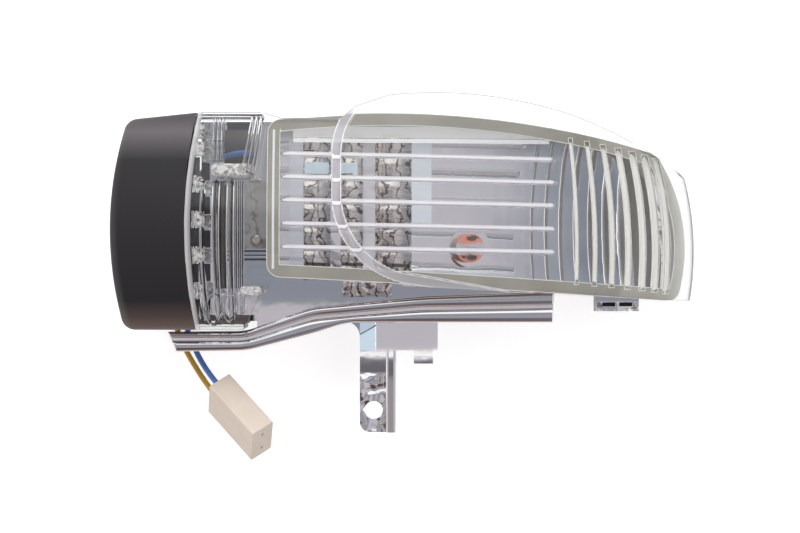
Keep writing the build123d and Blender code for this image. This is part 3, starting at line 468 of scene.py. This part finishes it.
def amber_glass():
    """Amber bulb glass: two wide orange-pink lobes with dark spots of painted reflection, paling outwards
    into a painted reflection of the mirror round it.
    """
    material, node = new_material("amber_bulb_glass")
    place = millimetres(node)
    x, z = [node("SeparateXYZ", {"Vector": place}, axis) for axis in "XZ"]
    across = node("Math", (x, BULB_X), operation="SUBTRACT")
    height = node("Math", (node("Math", (z, BULB_Z), operation="SUBTRACT"),), operation="ABSOLUTE")
    aside = node("Math", (height, LOBE_HEIGHT), operation="SUBTRACT")
    across, aside = [node("Math", (way, half), operation="DIVIDE")
                     for way, half in zip((across, aside), LOBE_HALF)]
    square = node("Math", (across, across), operation="MULTIPLY")
    reach = node("Math", (aside, aside, square), operation="MULTIPLY_ADD")
    reach = node("Math", (reach, LOBE_LUMPS / 2), operation="SUBTRACT")
    lumps = node("TexNoise", {"Vector": place, "Scale": 1 / 2.2, "Detail": 1.5})
    reach = node("Math", (lumps, LOBE_LUMPS, reach), operation="MULTIPLY_ADD")
    # Painted reflections: dark spots within the lobes, and the mirror's pale grey round them
    colour = node("ValToRGB", {"Fac": reach}, stops=(
        (0.0, "4b4543"), (0.06, "9a6a5e"), (0.16, "d98069"), (0.55, "e39a7e"), (0.85, "d9948a"),
        (1.0, "c4c0c5")))
    return surface(material, node("BsdfPrincipled", {"Base Color": colour, "Roughness": 0.15}))


ACRYLIC = clear_acrylic()
UNEVEN = uneven_acrylic()
METAL = metallised_plastic()
BLACK = black_plastic()
WELD = weld_joint()
AMBER = amber_glass()
# Near-white rods along the weld's front edges: a painted highlight
EDGE = moulded("weld_edge_highlight", "f8f7f2", "e6e5df", cloud=4.0, roughness=0.4, grain=0.8)
# Glass-filled nylon: dull black
HOLDER = moulded("black_nylon", "2c2a2c", "1d1b1d", cloud=6.0, roughness=0.5, grain=0.8)
# Moulded rubber: matt black
RUBBER = moulded("seal_rubber", "272727", "1a1a1a", cloud=5.0, roughness=0.75, grain=0.6)
# Stamped brass: warm and a little dulled
BRASS = moulded("stamped_brass", "dcbc74", "b8934c", cloud=3.0, roughness=0.3, grain=0.7, metallic=1.0)
# Vinyl wire covers: a soft gloss, uneven from handling
YELLOW = moulded("yellow_vinyl", "e0b448", "c8992c", cloud=12.0, roughness=0.4, grain=0.8)
BLUE = moulded("blue_vinyl", "5a88d2", "4470b8", cloud=12.0, roughness=0.4, grain=0.8)
# Natural nylon: warm white and cloudy
NYLON = moulded("natural_nylon", "f6e8d8", "e8d8c7", cloud=7.0, roughness=0.4, grain=0.8)
yellow_wire.data.materials.append(YELLOW)
blue_wire.data.materials.append(BLUE)


# Pieces taken from the construction, merged so that they shade smoothly

MERGE_DISTANCE = 1e-6
COPY_SHARP_ANGLE = 30
SHARP_ANGLE = 40


def smooth_copy(node, material):
    """A piece of the construction with its own look."""
    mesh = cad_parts[node].data.copy()
    for name in ("custom_normal", "sharp_face"):
        if name in mesh.attributes:
            mesh.attributes.remove(mesh.attributes[name])
    cells = bmesh.new()
    cells.from_mesh(mesh)
    bmesh.ops.remove_doubles(cells, verts=cells.verts, dist=MERGE_DISTANCE)
    mesh.materials.clear()
    return piece_from(cells, node + "_looks", (material,), node, COPY_SHARP_ANGLE, mesh)


def piece_from(cells, name, materials, node=None, angle=SHARP_ANGLE, mesh=None):
    """An object of the lamp from finished cells."""
    mesh = mesh or bpy.data.meshes.new(name)
    cells.to_mesh(mesh)
    cells.free()
    mesh.shade_smooth()
    mesh.set_sharp_from_angle(angle=math.radians(angle))
    for material in materials:
        mesh.materials.append(material)
    piece = bpy.data.objects.new(name, mesh)
    scene.collection.objects.link(piece)
    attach(piece, "root")
    if node:
        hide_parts(node)
    return piece


# Lens: a grid over its crowned face, with rows along the ribs and columns along the flutes

def face_point(heading, height, depth):
    """Point of the crowned face at a heading in plan and a height, set back by a depth into the wall."""
    turn = math.radians(heading)
    radius, centre = (FACE_RADIUS, FACE_CENTRE) if heading < END_HEADING else (END_RADIUS, END_CENTRE)
    reach = radius + math.sqrt((CROWN_RADIUS - depth) ** 2 - (height - CROWN_HEIGHT) ** 2) - CROWN_RADIUS
    return Vector((centre[0] + reach * math.sin(turn), centre[1] - reach * math.cos(turn), height))


def heading_at(x):
    """Heading of the larger arc at one x."""
    return math.degrees(math.asin((x - FACE_CENTRE[0]) / FACE_RADIUS))


def heading_along(length):
    """Heading at a length along the face from the joint of its two arcs."""
    return END_HEADING + math.degrees(length / (FACE_RADIUS if length < 0 else END_RADIUS))


def length_along(heading):
    """Length along the face from the joint of its two arcs to a heading."""
    return math.radians(heading - END_HEADING) * (FACE_RADIUS if heading < END_HEADING else END_RADIUS)


def through(points, x):
    """Straight lines through points, read at one x."""
    for (x0, z0), (x1, z1) in zip(points, points[1:]):
        if x <= x1:
            break
    return z0 + (z1 - z0) * (x - x0) / (x1 - x0)


def arc_height(points, x, side):
    """Height of the circle through three points at one x, on its upper (1) or lower (-1) side."""
    (ax, az), (bx, bz), (cx, cz) = points
    d = 2 * (ax * (bz - cz) + bx * (cz - az) + cx * (az - bz))
    aa, bb, cc = ax * ax + az * az, bx * bx + bz * bz, cx * cx + cz * cz
    ox = (aa * (bz - cz) + bb * (cz - az) + cc * (az - bz)) / d
    oz = (aa * (cx - bx) + bb * (ax - cx) + cc * (bx - ax)) / d
    return oz + side * math.sqrt(max(0.0, (ax - ox) ** 2 + (az - oz) ** 2 - (x - ox) ** 2))


def lens_top(x):
    """Height of the lens's upper edge at one x."""
    return through(TOP_EDGE, x) if x < TOP_ARC[0][0] else arc_height(TOP_ARC, x, 1)


def lens_bottom(x):
    """Height of the lens's lower edge at one x."""
    return through(BOTTOM_EDGE, x) if x < BOTTOM_ARC[0][0] else arc_height(BOTTOM_ARC, x, -1)


def step_share(x, z):
    """Nought before the bent step of the face, one beyond it, and what lies between on its slope."""
    low, high = STEP_UPRIGHT
    low_bend, high_bend = STEP_BENDS
    right = x - STEP_X
    if low < z <= high or (z > high and right > high_bend):
        inside = right
    elif z > high:
        inside = high_bend - math.hypot(right - high_bend, z - high)
    elif right < STEP_RUN:
        inside = low_bend - math.hypot(right - low_bend, z - low)
    else:
        rise = z - STEP_RUN_HEIGHT + STEP_RUN_SLOPE * (right - STEP_RUN)
        inside = rise / math.hypot(1, STEP_RUN_SLOPE)
    return min(1.0, max(0.0, inside / STEP_WIDTH + 0.5))


def rib_height(index, x):
    """Height of a rib, which dips where the step crosses it."""
    height = RIB_TOP - RIB_PITCH * index - RIB_FALL * x
    share = step_share(x, height)
    return height - RIB_DIP * min(1.0, share / RIB_DIP_SHARE, (1 - share) / RIB_DIP_SHARE)


def step_depth(share):
    """How far the face is set back at a share of the step, rounded at both ends."""
    if share < STEP_SOFT:
        rise = share ** 2 / (2 * STEP_SOFT)
    elif share > 1 - STEP_SOFT:
        rise = 1 - STEP_SOFT - (1 - share) ** 2 / (2 * STEP_SOFT)
    else:
        rise = share - STEP_SOFT / 2
    return LENS_STEP * (1 - rise / (1 - STEP_SOFT))


def rod_height(radius, aside, past):
    """How far a round rod stands off the wall, beside its line and past its end."""
    return math.sqrt(max(0.0, radius ** 2 - aside ** 2 - past ** 2))


def flute_radius(index):
    """Radius of a flute, which grows from flute to flute."""
    return FLUTE_RADIUS + FLUTE_GROWTH * index


def lens_columns():
    """Headings of the grid's columns, close together at the step, the rib ends and the flutes."""
    places = [start + pitch * i for start, pitch, count in COLUMN_RUNS for i in range(count)]
    for x, radius in RIDGES:
        places += [x + share * radius for share in ROD_SHARES]
    places += RIB_END_COLUMNS
    headings = [heading_at(x) for x in places]
    for index in range(FLUTE_COUNT):
        middle = index * FLUTE_PITCH
        headings += [heading_along(middle + share * flute_radius(index)) for share in ROD_SHARES]
        headings += [heading_along(middle + share * FLUTE_PITCH) for share in FLUTE_GAP_COLUMNS]
    last = headings[-1]
    headings += [last + (LAST_HEADING - last) * i / LAST_COLUMNS for i in range(1, LAST_COLUMNS + 1)]
    return sorted(headings)


def lens_rows(x):
    """Heights of the grid's rows at one place along the lens, close together at the ribs.

    Right of the ribs they spread evenly.
    """
    near = min(x, EVEN_ROWS[0])
    low, high = lens_bottom(near), lens_top(near)
    lines = [rib_height(index, near) for index in reversed(range(RIB_COUNT))]
    first = lines[0] - ROD_EDGE * RIB_RADIUS
    rows = [low + (first - low) * i / ROWS_BELOW for i in range(ROWS_BELOW)]
    for line, after in zip(lines, lines[1:]):
        rows += [line + share * RIB_RADIUS for share in ROD_SHARES]
        gap = after - line - 2 * ROD_EDGE * RIB_RADIUS
        rows += [line + ROD_EDGE * RIB_RADIUS + gap * i / ROWS_BETWEEN for i in range(1, ROWS_BETWEEN)]
    rows += [lines[-1] + share * RIB_RADIUS for share in ROD_SHARES]
    last = rows[-1]
    rows += [last + (high - last) * i / ROWS_ABOVE for i in range(1, ROWS_ABOVE + 1)]
    even = min(1.0, max(0.0, (x - EVEN_ROWS[0]) / (EVEN_ROWS[1] - EVEN_ROWS[0])))
    shares = [(z - low) / (high - low) for z in rows]
    shares = [share + (index / (len(rows) - 1) - share) * even for index, share in enumerate(shares)]
    return [lens_bottom(x) + (lens_top(x) - lens_bottom(x)) * share for share in shares]


def inner_rods(heading, x, plain_x, z):
    """How far rods stand off the inside of the lens at one place, and its marks for ribs and flutes."""
    height, rib, flute = 0.0, 0.0, 0.0
    past = max(0.0, RIB_ENDS[0] - x, x - RIB_ENDS[1])
    for index in range(RIB_COUNT):
        aside = z - rib_height(index, x)
        rise = rod_height(RIB_RADIUS, aside, past)
        if rise > height:
            height, rib = rise, 0.5 + 0.5 * aside / RIB_RADIUS
    for index in range(FLUTE_COUNT):
        aside = length_along(heading) - index * FLUTE_PITCH
        low, high = [end - fall * index for end, fall in zip(FLUTE_SPAN, FLUTE_SPAN_FALL)]
        rise = rod_height(flute_radius(index), aside, max(0.0, low - z, z - high))
        if rise > height:
            height, flute = rise, rise / flute_radius(index)
    for place, radius in RIDGES:
        past = max(0.0, RIDGE_SPAN[0] - z, z - RIDGE_SPAN[1])
        height = max(height, rod_height(radius, plain_x - place, past))
    return height, rib, flute


def lens_mesh():
    """Two sheets over the crowned face, outside and inside, joined round their rims."""
    cells = bmesh.new()
    step, rib, flute, rim = [cells.verts.layers.float.new(name) for name in MARKS]
    middle, half = (LENS_TOP + LENS_BOTTOM) / 2, (LENS_TOP - LENS_BOTTOM) / 2
    last = length_along(LAST_HEADING)
    headings = lens_columns()
    row_count = len(lens_rows(0.0))
    outside, inside = [bmesh.ops.create_grid(cells, x_segments=len(headings) - 1, y_segments=row_count - 1,
                                             size=1.0)["verts"] for sheet in range(2)]
    for column, heading in enumerate(headings):
        x = face_point(heading, MID_HEIGHT, 0).x
        rows = lens_rows(x)
        fade = max(0.0, 1 - (x - SEAM_X) / SEAM_FADE)
        for row, z in enumerate(rows):
            front, back = [sheet[row * len(headings) + column] for sheet in (outside, inside)]
            bow = SEAM_BOW * fade * (1 - ((z - middle) / half) ** 2)
            place = heading - math.degrees(bow / FACE_RADIUS)
            across = face_point(place, z, 0).x
            share = step_share(across, z)
            depth = step_depth(share)
            rods, rib_mark, flute_mark = inner_rods(heading, across, x, z)
            edges = [x - SEAM_X, last - length_along(heading)]
            if LEFT_END_X < x < TOP_RIM_END_X:
                edges.append(rows[-1] - z)
            front.co = face_point(place, z, depth) * MM
            front[step] = share if z < STEP_MARK_TOP else 1.0
            front[rim] = max(0.0, 1 - min(edges) / (SEAM_RIM if x < LEFT_END_X else LENS_RIM))
            front[rib] = rib_mark if STEP_SLOPE_SHARES[0] < share < STEP_SLOPE_SHARES[1] else 0.0
            back.co = face_point(place, z, depth + LENS_WALL - WELD_CLEARANCE + rods) * MM
            back[rib] = rib_mark
            back[flute] = flute_mark
    bmesh.ops.bridge_loops(cells, edges=[edge for edge in cells.edges if edge.is_boundary])
    bmesh.ops.recalc_face_normals(cells, faces=cells.faces)
    return cells


# Clear parts behind the left end of the lens, in millimetres

TONGUE_GAPS = (97.4, 91.3, 79.1, 66.9, 54.7, 42.5)
CHUNK_SPAN = (-62.3, -58.6)
CHUNK_DEPTH = 2.6
CHUNK_HALF = 2.6
CHUNK_ROUND = 1.1
CHUNK_GAP = 0.3
LEDGE = ((-56.2, -21.5, 81.9), (-43.3, -9.0, 86.2))
SILL = ((-46.0, -24.0, 40.8), (-38.6, -18.0, 44.0))
LEDGE_ROUND = 1.2
TOP_PLATE = ((-61.2, -14.5, 102.3), (-38.8, 7.5, 104.2))
BOTTOM_PLATE = ((-61.2, -21.0, 29.0), (-44.7, 7.5, 31.0))
PLATE_ROUND = 0.6
POSTS = (((-42.0, 102.5), (-45.2, 84.0)), ((-40.4, 102.5), (-43.6, 83.2)), ((-38.9, 102.0), (-42.0, 82.6)))
POST_RADIUS = 0.7
TOP_RODS = (-55.6, -54.0, -52.7)
TOP_ROD_HEIGHTS = (102.0, 94.0, 87.0)
TOP_ROD_RADIUS = 0.65
ROD_GAP = 1.2
LOOPS = ((-55.4, 36.2, 2.6, 5.0), (-49.6, 37.0, 2.3, 4.6))
LOOP_RADIUS = 0.9
LOOP_GAP = 1.4


def behind_lens(x, z, gap):
    """Point behind the inside of the lens, left of its step."""
    return face_point(heading_at(x), z, LENS_STEP + LENS_WALL + gap)


def rod(cells, start, end, radius, sides=10):
    """Round rod between two points."""
    run = end - start
    place = Matrix.LocRotScale((start + end) / 2 * MM, run.to_track_quat("Z", "Y"), None)
    bmesh.ops.create_cone(cells, cap_ends=True, segments=sides, radius1=radius * MM, radius2=radius * MM,
                          depth=run.length * MM, matrix=place)


def loop(cells, centre, across, up, radius):
    """Upright oval ring round a centre."""
    profile = Matrix.Translation((0, 0, up * MM)) @ Matrix.Rotation(math.radians(90), 4, "Y")
    start = bmesh.ops.create_circle(cells, segments=10, radius=radius * MM, matrix=profile)["verts"]
    before = set(cells.verts) - set(start)
    edges = list({edge for corner in start for edge in corner.link_edges})
    bmesh.ops.spin(cells, geom=start + edges, cent=(0, 0, 0), axis=(0, 1, 0), angle=2 * math.pi, steps=28,
                   use_merge=True)
    made = [corner for corner in cells.verts if corner not in before]
    bmesh.ops.scale(cells, vec=(across / up, 1, 1), verts=made)
    bmesh.ops.translate(cells, vec=centre * MM, verts=made)
    bmesh.ops.recalc_face_normals(cells, faces=list({face for corner in made for face in corner.link_faces}))


def block(cells, low, high, round_edge, uneven=False):
    """Box between two corners with rounded edges, in its piece's second material where it is uneven."""
    made = bmesh.ops.create_cube(cells, size=1)["verts"]
    for corner in made:
        corner.co = [(a + b) / 2 * MM + side * (b - a) * MM for a, b, side in zip(low, high, corner.co)]
    for face in {face for corner in made for face in corner.link_faces}:
        face.material_index = int(uneven)
    edges = list({edge for corner in made for edge in corner.link_edges})
    bmesh.ops.bevel(cells, geom=edges, offset=round_edge * MM, offset_type="OFFSET", segments=3, profile=0.5,
                    affect="EDGES", material=-1)


def left_end(cells):
    """Chunks between the tongues, ledge, sill, plates, posts, rods and loops."""
    for z in TONGUE_GAPS:
        near = behind_lens(SEAM_X, z, CHUNK_GAP).y
        low = (CHUNK_SPAN[0], near, z - CHUNK_HALF)
        high = (CHUNK_SPAN[1], near + CHUNK_DEPTH, z + CHUNK_HALF)
        block(cells, low, high, CHUNK_ROUND, uneven=True)
    for low, high in (LEDGE, SILL):
        block(cells, low, high, LEDGE_ROUND, uneven=True)
    for low, high in (TOP_PLATE, BOTTOM_PLATE):
        block(cells, low, high, PLATE_ROUND)
    for top, bottom in POSTS:
        rod(cells, behind_lens(*top, ROD_GAP), behind_lens(*bottom, ROD_GAP), POST_RADIUS)
    for x in TOP_RODS:
        points = [behind_lens(x, z, ROD_GAP) for z in TOP_ROD_HEIGHTS]
        for start, end in zip(points, points[1:]):
            rod(cells, start, end, TOP_ROD_RADIUS)
    for x, z, across, up in LOOPS:
        loop(cells, behind_lens(x, z, LOOP_GAP), across, up, LOOP_RADIUS)


# Rail, a dark block of painted shade behind the clip's slots, bulb collar, and near-white rods of painted
# highlight along the weld's edges, in millimetres and degrees

RAIL_TOP = ((-71.9, 27.8), (-45.0, 28.0), (-21.5, 36.4), (18.0, 40.2), (63.2, 42.0))
RAIL_GROOVE = ((-74.0, 25.3), (-44.5, 25.3), (-21.0, 32.8), (16.0, 36.0), (66.0, 36.8))
RAIL_BOTTOM = ((-69.1, 21.2), (-44.0, 21.6), (-21.0, 27.6), (-9.0, 31.4), (62.6, 31.4))
RAIL_ENDS = (-68.8, 62.4)
RAIL_EASING = (-3.0, -1.5, 0.0, 1.5, 3.0)
RAIL_FRONT_Y = -12.0
RAIL_BULGE = 0.9
RAIL_STATIONS = 121
RAIL_TURNS = [math.radians(-80 + 10 * step) for step in range(17)]
GROOVE_HALF = 0.55
BAR_SKIN = 0.2
# Dark block behind the clip's slots, as painted shade
SLOT_SHADE_BLOCK = ((79.5, 6.0, 36.0), (93.2, 7.0, 40.2))
SLOT_SHADE_ROUND = 0.2
COLLAR_RADII = (4.7, 7.4)
COLLAR_Y = -1.0
COLLAR_THICKNESS = 0.3
WELD_LINE_RADIUS = 0.16
WELD_LINE_ANGLE = 35
WELD_LINE_NORMAL_Y = -0.5


def along(points, x):
    """Height of a line of the rail, with its corners eased."""
    return sum(through(points, x + aside) for aside in RAIL_EASING) / len(RAIL_EASING)


def rail_bars():
    """The rounded fronts of the rail's two bars, above and below its groove."""
    cells = bmesh.new()
    for upper in (True, False):
        sheet = bmesh.ops.create_grid(cells, x_segments=RAIL_STATIONS - 1, y_segments=len(RAIL_TURNS) - 1,
                                      size=1.0)
        for index, corner in enumerate(sheet["verts"]):
            row, station = divmod(index, RAIL_STATIONS)
            x = RAIL_ENDS[0] + (RAIL_ENDS[1] - RAIL_ENDS[0]) * station / (RAIL_STATIONS - 1)
            groove = along(RAIL_GROOVE, x)
            low = groove + GROOVE_HALF if upper else along(RAIL_BOTTOM, x)
            high = along(RAIL_TOP, x) if upper else groove - GROOVE_HALF
            swell = RAIL_BULGE * (math.cos(RAIL_TURNS[row]) - math.cos(RAIL_TURNS[0]))
            z = (low + high) / 2 + (high - low) / 2 * math.sin(RAIL_TURNS[row])
            corner.co = Vector((x, RAIL_FRONT_Y - swell, z)) * MM
    bmesh.ops.solidify(cells, geom=cells.faces[:], thickness=BAR_SKIN * MM)
    bmesh.ops.recalc_face_normals(cells, faces=cells.faces)
    return cells


def slot_shade_block():
    """Dark block behind the clip's slots: painted shade in the slots."""
    cells = bmesh.new()
    block(cells, *SLOT_SHADE_BLOCK, SLOT_SHADE_ROUND)
    return cells


def bulb_collar():
    """Flat bright washer round the bulb, square to the dish."""
    cells = bmesh.new()
    bmesh.ops.create_circle(cells, segments=48, radius=COLLAR_RADII[0] * MM)
    made = bmesh.ops.extrude_edge_only(cells, edges=cells.edges[:])["geom"]
    outer = [corner for corner in made if isinstance(corner, bmesh.types.BMVert)]
    bmesh.ops.scale(cells, vec=(COLLAR_RADII[1] / COLLAR_RADII[0],) * 3, verts=outer)
    upright = Matrix.Rotation(math.radians(90), 4, "X")
    turn = Matrix.Rotation(math.radians(heading_at(BULB_X)), 4, "Z")
    place = Matrix.Translation(Vector((BULB_X, COLLAR_Y, BULB_Z)) * MM) @ turn @ upright
    bmesh.ops.transform(cells, matrix=place, verts=cells.verts)
    bmesh.ops.solidify(cells, geom=cells.faces[:], thickness=COLLAR_THICKNESS * MM)
    bmesh.ops.recalc_face_normals(cells, faces=cells.faces)
    return cells


def weld_edge_glints():
    """Thin near-white rods along the sharp front edges of the weld: a painted highlight where its edge
    catches light.
    """
    source = bmesh.new()
    source.from_mesh(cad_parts["weld_bead"].data)
    bmesh.ops.remove_doubles(source, verts=source.verts, dist=MERGE_DISTANCE)
    cells = bmesh.new()
    for edge in source.edges:
        if len(edge.link_faces) != 2 or edge.calc_face_angle() < math.radians(WELD_LINE_ANGLE):
            continue
        if min(face.normal.y for face in edge.link_faces) < WELD_LINE_NORMAL_Y:
            rod(cells, *[corner.co / MM for corner in edge.verts], WELD_LINE_RADIUS, sides=5)
    source.free()
    return cells


# All pieces of the lamp

lens_cells = lens_mesh()
left_end(lens_cells)
piece_from(lens_cells, "lens", (ACRYLIC, UNEVEN), "outer_lens")
# Near-white rods as a painted highlight along the weld's edges
piece_from(weld_edge_glints(), "weld_edge_glints", (EDGE,))
piece_from(rail_bars(), "rail_bars", (METAL,))
# Dark block as painted shade behind the clip's slots
piece_from(slot_shade_block(), "clip_slot_shade", (BLACK,))
piece_from(bulb_collar(), "bulb_collar", (METAL,))
smooth_copy("weld_bead", WELD)
housing = smooth_copy("reflector_housing", METAL)
housing.modifiers.new("even_shading", "WEIGHTED_NORMAL").keep_sharp = True
smooth_copy("end_cap", BLACK)
smooth_copy("bulb", AMBER)
smooth_copy("bulb_holder", HOLDER)
smooth_copy("holder_seal", RUBBER)
for contact in ("contact_lower", "contact_upper"):
    smooth_copy(contact, BRASS)
connector = smooth_copy("connector_housing", NYLON)
yellow_terminal = smooth_copy("terminal_yellow", BRASS)
blue_terminal = smooth_copy("terminal_blue", BRASS)


# Table: white, behind the lamp

TABLE_Y = 0.034
TABLE_HALF = 3.0
TABLE_CENTRE_Z = 0.05
TABLE_GLOW = 0.6


def table_paint():
    """White table: lit diffuse white that photographs as white, seen from its front only."""
    material, node = new_material("white_table")
    camera = node("LightPath", output="Is Camera Ray")
    through_glass = node("LightPath", output="Is Transmission Ray")
    seen = node("Math", (camera, through_glass), operation="MAXIMUM")
    glow = node("Math", (seen, TABLE_GLOW), operation="MULTIPLY")
    paint = node("BsdfPrincipled", {"Base Color": "f4f4f4", "Roughness": 0.9, "Emission Color": "ffffff",
                                    "Emission Strength": glow})
    return surface(material, paint, (node("NewGeometry", output="Backfacing"), node("BsdfTransparent")))


def make_table():
    """A wide upright sheet that faces the lamp's back."""
    cells = bmesh.new()
    place = Matrix.Translation((0, TABLE_Y, TABLE_CENTRE_Z)) @ Matrix.Rotation(math.radians(90), 4, "X")
    bmesh.ops.create_grid(cells, x_segments=1, y_segments=1, size=TABLE_HALF, matrix=place)
    mesh = bpy.data.meshes.new("table")
    cells.to_mesh(mesh)
    cells.free()
    mesh.materials.append(table_paint())
    table = bpy.data.objects.new("table", mesh)
    scene.collection.objects.link(table)


# Room: bands in degrees, by turn to the right for the first three and by rise for those behind the table

MIDDLE_BANDS = (
    (-90, "ffffff"), (-62, "ffffff"), (-58, "cfcad0"), (-47, "b7afa9"), (-46, "4a423e"), (-44, "4a423e"),
    (-43, "b9b1aa"), (-38, "3b3633"), (-34, "3b3633"), (-33, "bdb5ae"), (-25, "b3aca9"), (-24, "5b524d"),
    (-22, "5b524d"), (-21, "b3aca9"), (-15, "a9a3a4"), (-14, "6b6462"), (-13, "6b6462"), (-12, "a6a2a6"),
    (-6, "8d909c"), (6, "8d909c"), (9, "b7b4bb"), (24, "b7b4ba"), (31, "b0adb4"), (37, "9799a2"),
    (52, "787d87"), (64, "757a84"), (70, "ffffff"), (90, "ffffff"))
HIGH_BANDS = (
    (-90, "ffffff"), (-60, "ffffff"), (-42, "d9dde2"), (-40, "6b6562"), (-36, "6b6562"), (-34, "d9dde2"),
    (0, "ffffff"), (25, "d3d7de"), (45, "868d98"), (64, "868d97"), (70, "ffffff"), (90, "ffffff"))
LOW_BANDS = (
    (-90, "ffffff"), (-60, "ffffff"), (-40, "8c7d76"), (-20, "4a403d"), (0, "5b4d4a"), (20, "918d92"),
    (40, "56575f"), (64, "5f6068"), (70, "ffffff"), (90, "ffffff"))
BACK_BANDS = (
    (-90, "9a9a9e"), (-30, "6a6a70"), (-8, "45454b"), (-3, "7f8087"), (4, "c4c5ca"), (14, "f4f4f6"),
    (30, "ffffff"), (38, "9fa1a8"), (52, "8c8e95"), (64, "ffffff"), (90, "ffffff"))
HIGH_FROM = (14.0, 20.0)
SKY_FROM = (50.0, 60.0)
BACK_FROM = 0.12
WAVE_SIZE = 0.14
TURN_SWAY = 14.0
RISE_SWAY = 0.8
ROOM_STRENGTH = 1.15
# What the flat rail, plate and tab mirror, straight ahead: the highest rise of each band
OPENING = "82868f"
OPENING_BANDS = ((-0.75, "b3afb5"), (-1.7, "fdfdfd"), (-1.83, "625f65"), (-2.2, "8f8b8c"))
OPENING_SPAN = (-6.5, 6.5, -4.5, 4.5)


def room():
    """The room that the bright metal mirrors: a light tent, open straight ahead of the lens."""
    world = bpy.data.worlds.new("room")
    world.use_nodes = True
    node = functools.partial(add, world.node_tree)
    way = node("TexCoord", output="Generated")
    x, y, z = [node("SeparateXYZ", {"Vector": way}, axis) for axis in "XYZ"]
    front = node("Math", (y, -1.0), operation="MULTIPLY")
    turn = node("Math", (node("Math", (x, front), operation="ARCTAN2"),), operation="DEGREES")
    rise = node("Math", (node("Math", (z,), operation="ARCSINE"),), operation="DEGREES")
    waves = node("TexNoise", {"Vector": way, "Scale": 1 / WAVE_SIZE})
    sway = node("Math", (waves, TURN_SWAY, -TURN_SWAY / 2), operation="MULTIPLY_ADD")
    swayed = node("Math", (turn, sway), operation="ADD")
    lift = node("Math", (sway, RISE_SWAY, rise), operation="MULTIPLY_ADD")
    bands = []
    for angle, places in ((swayed, MIDDLE_BANDS), (swayed, HIGH_BANDS), (swayed, LOW_BANDS),
                          (lift, BACK_BANDS)):
        share = node("MapRange", {"Value": angle, "From Min": -90.0, "From Max": 90.0})
        stops = [((place + 90) / 180, code) for place, code in places]
        bands.append(node("ValToRGB", {"Fac": share}, stops=stops))
    colour, high, low, back = bands
    up, down, sky, floor = [
        node("MapRange", {"Value": angle, "From Min": side * near, "From Max": side * far})
        for angle, (near, far) in ((lift, HIGH_FROM), (rise, SKY_FROM)) for side in (1, -1)]
    behind = node("Math", (y, BACK_FROM), operation="GREATER_THAN")
    ahead = patch(node, turn, rise, *OPENING_SPAN)
    opening = OPENING
    for top, shade in OPENING_BANDS:
        below = node("Math", (rise, top), operation="LESS_THAN")
        opening = node("Mix", {0: below, 6: opening, 7: shade}, 2, data_type="RGBA")
    mirrored = node("LightPath", output="Glossy Depth")
    unmirrored = node("Math", (mirrored, 0.5), operation="LESS_THAN")
    through_glass = node("LightPath", output="Is Transmission Ray")
    straight = node("Math", (through_glass, unmirrored), operation="MULTIPLY")
    seen = node("Math", (node("LightPath", output="Is Camera Ray"), straight), operation="MAXIMUM")
    for share, other in ((up, high), (down, low), (sky, "ffffff"), (floor, "a3958f"), (behind, back),
                         (ahead, opening), (seen, "ffffff")):
        colour = node("Mix", {0: share, 6: colour, 7: other}, 2, data_type="RGBA")
    background = world.node_tree.nodes["Background"]
    background.inputs["Strength"].default_value = ROOM_STRENGTH
    world.node_tree.links.new(colour, background.inputs["Color"])
    return world


# Lights

LIGHT_AIM = Vector((0.0, 0.0, 0.06))


def soft_light(name, place, size, power):
    """Studio light for the matt pieces, kept out of the mirror's and the lens's reflections."""
    data = bpy.data.lights.new(name, "AREA")
    data.size = size
    data.energy = power
    light = bpy.data.objects.new(name, data)
    light.location = place
    light.rotation_euler = (LIGHT_AIM - Vector(place)).to_track_quat("-Z", "Y").to_euler()
    light.visible_glossy = False
    light.visible_transmission = False
    scene.collection.objects.link(light)


make_table()
soft_light("key", place=(-0.35, -0.9, 0.75), size=0.7, power=4.5)
soft_light("fill", place=(0.6, -0.9, 0.2), size=0.9, power=2.5)
scene.world = room()
scene.view_settings.view_transform = "Standard"

bpy.context.view_layer.update()
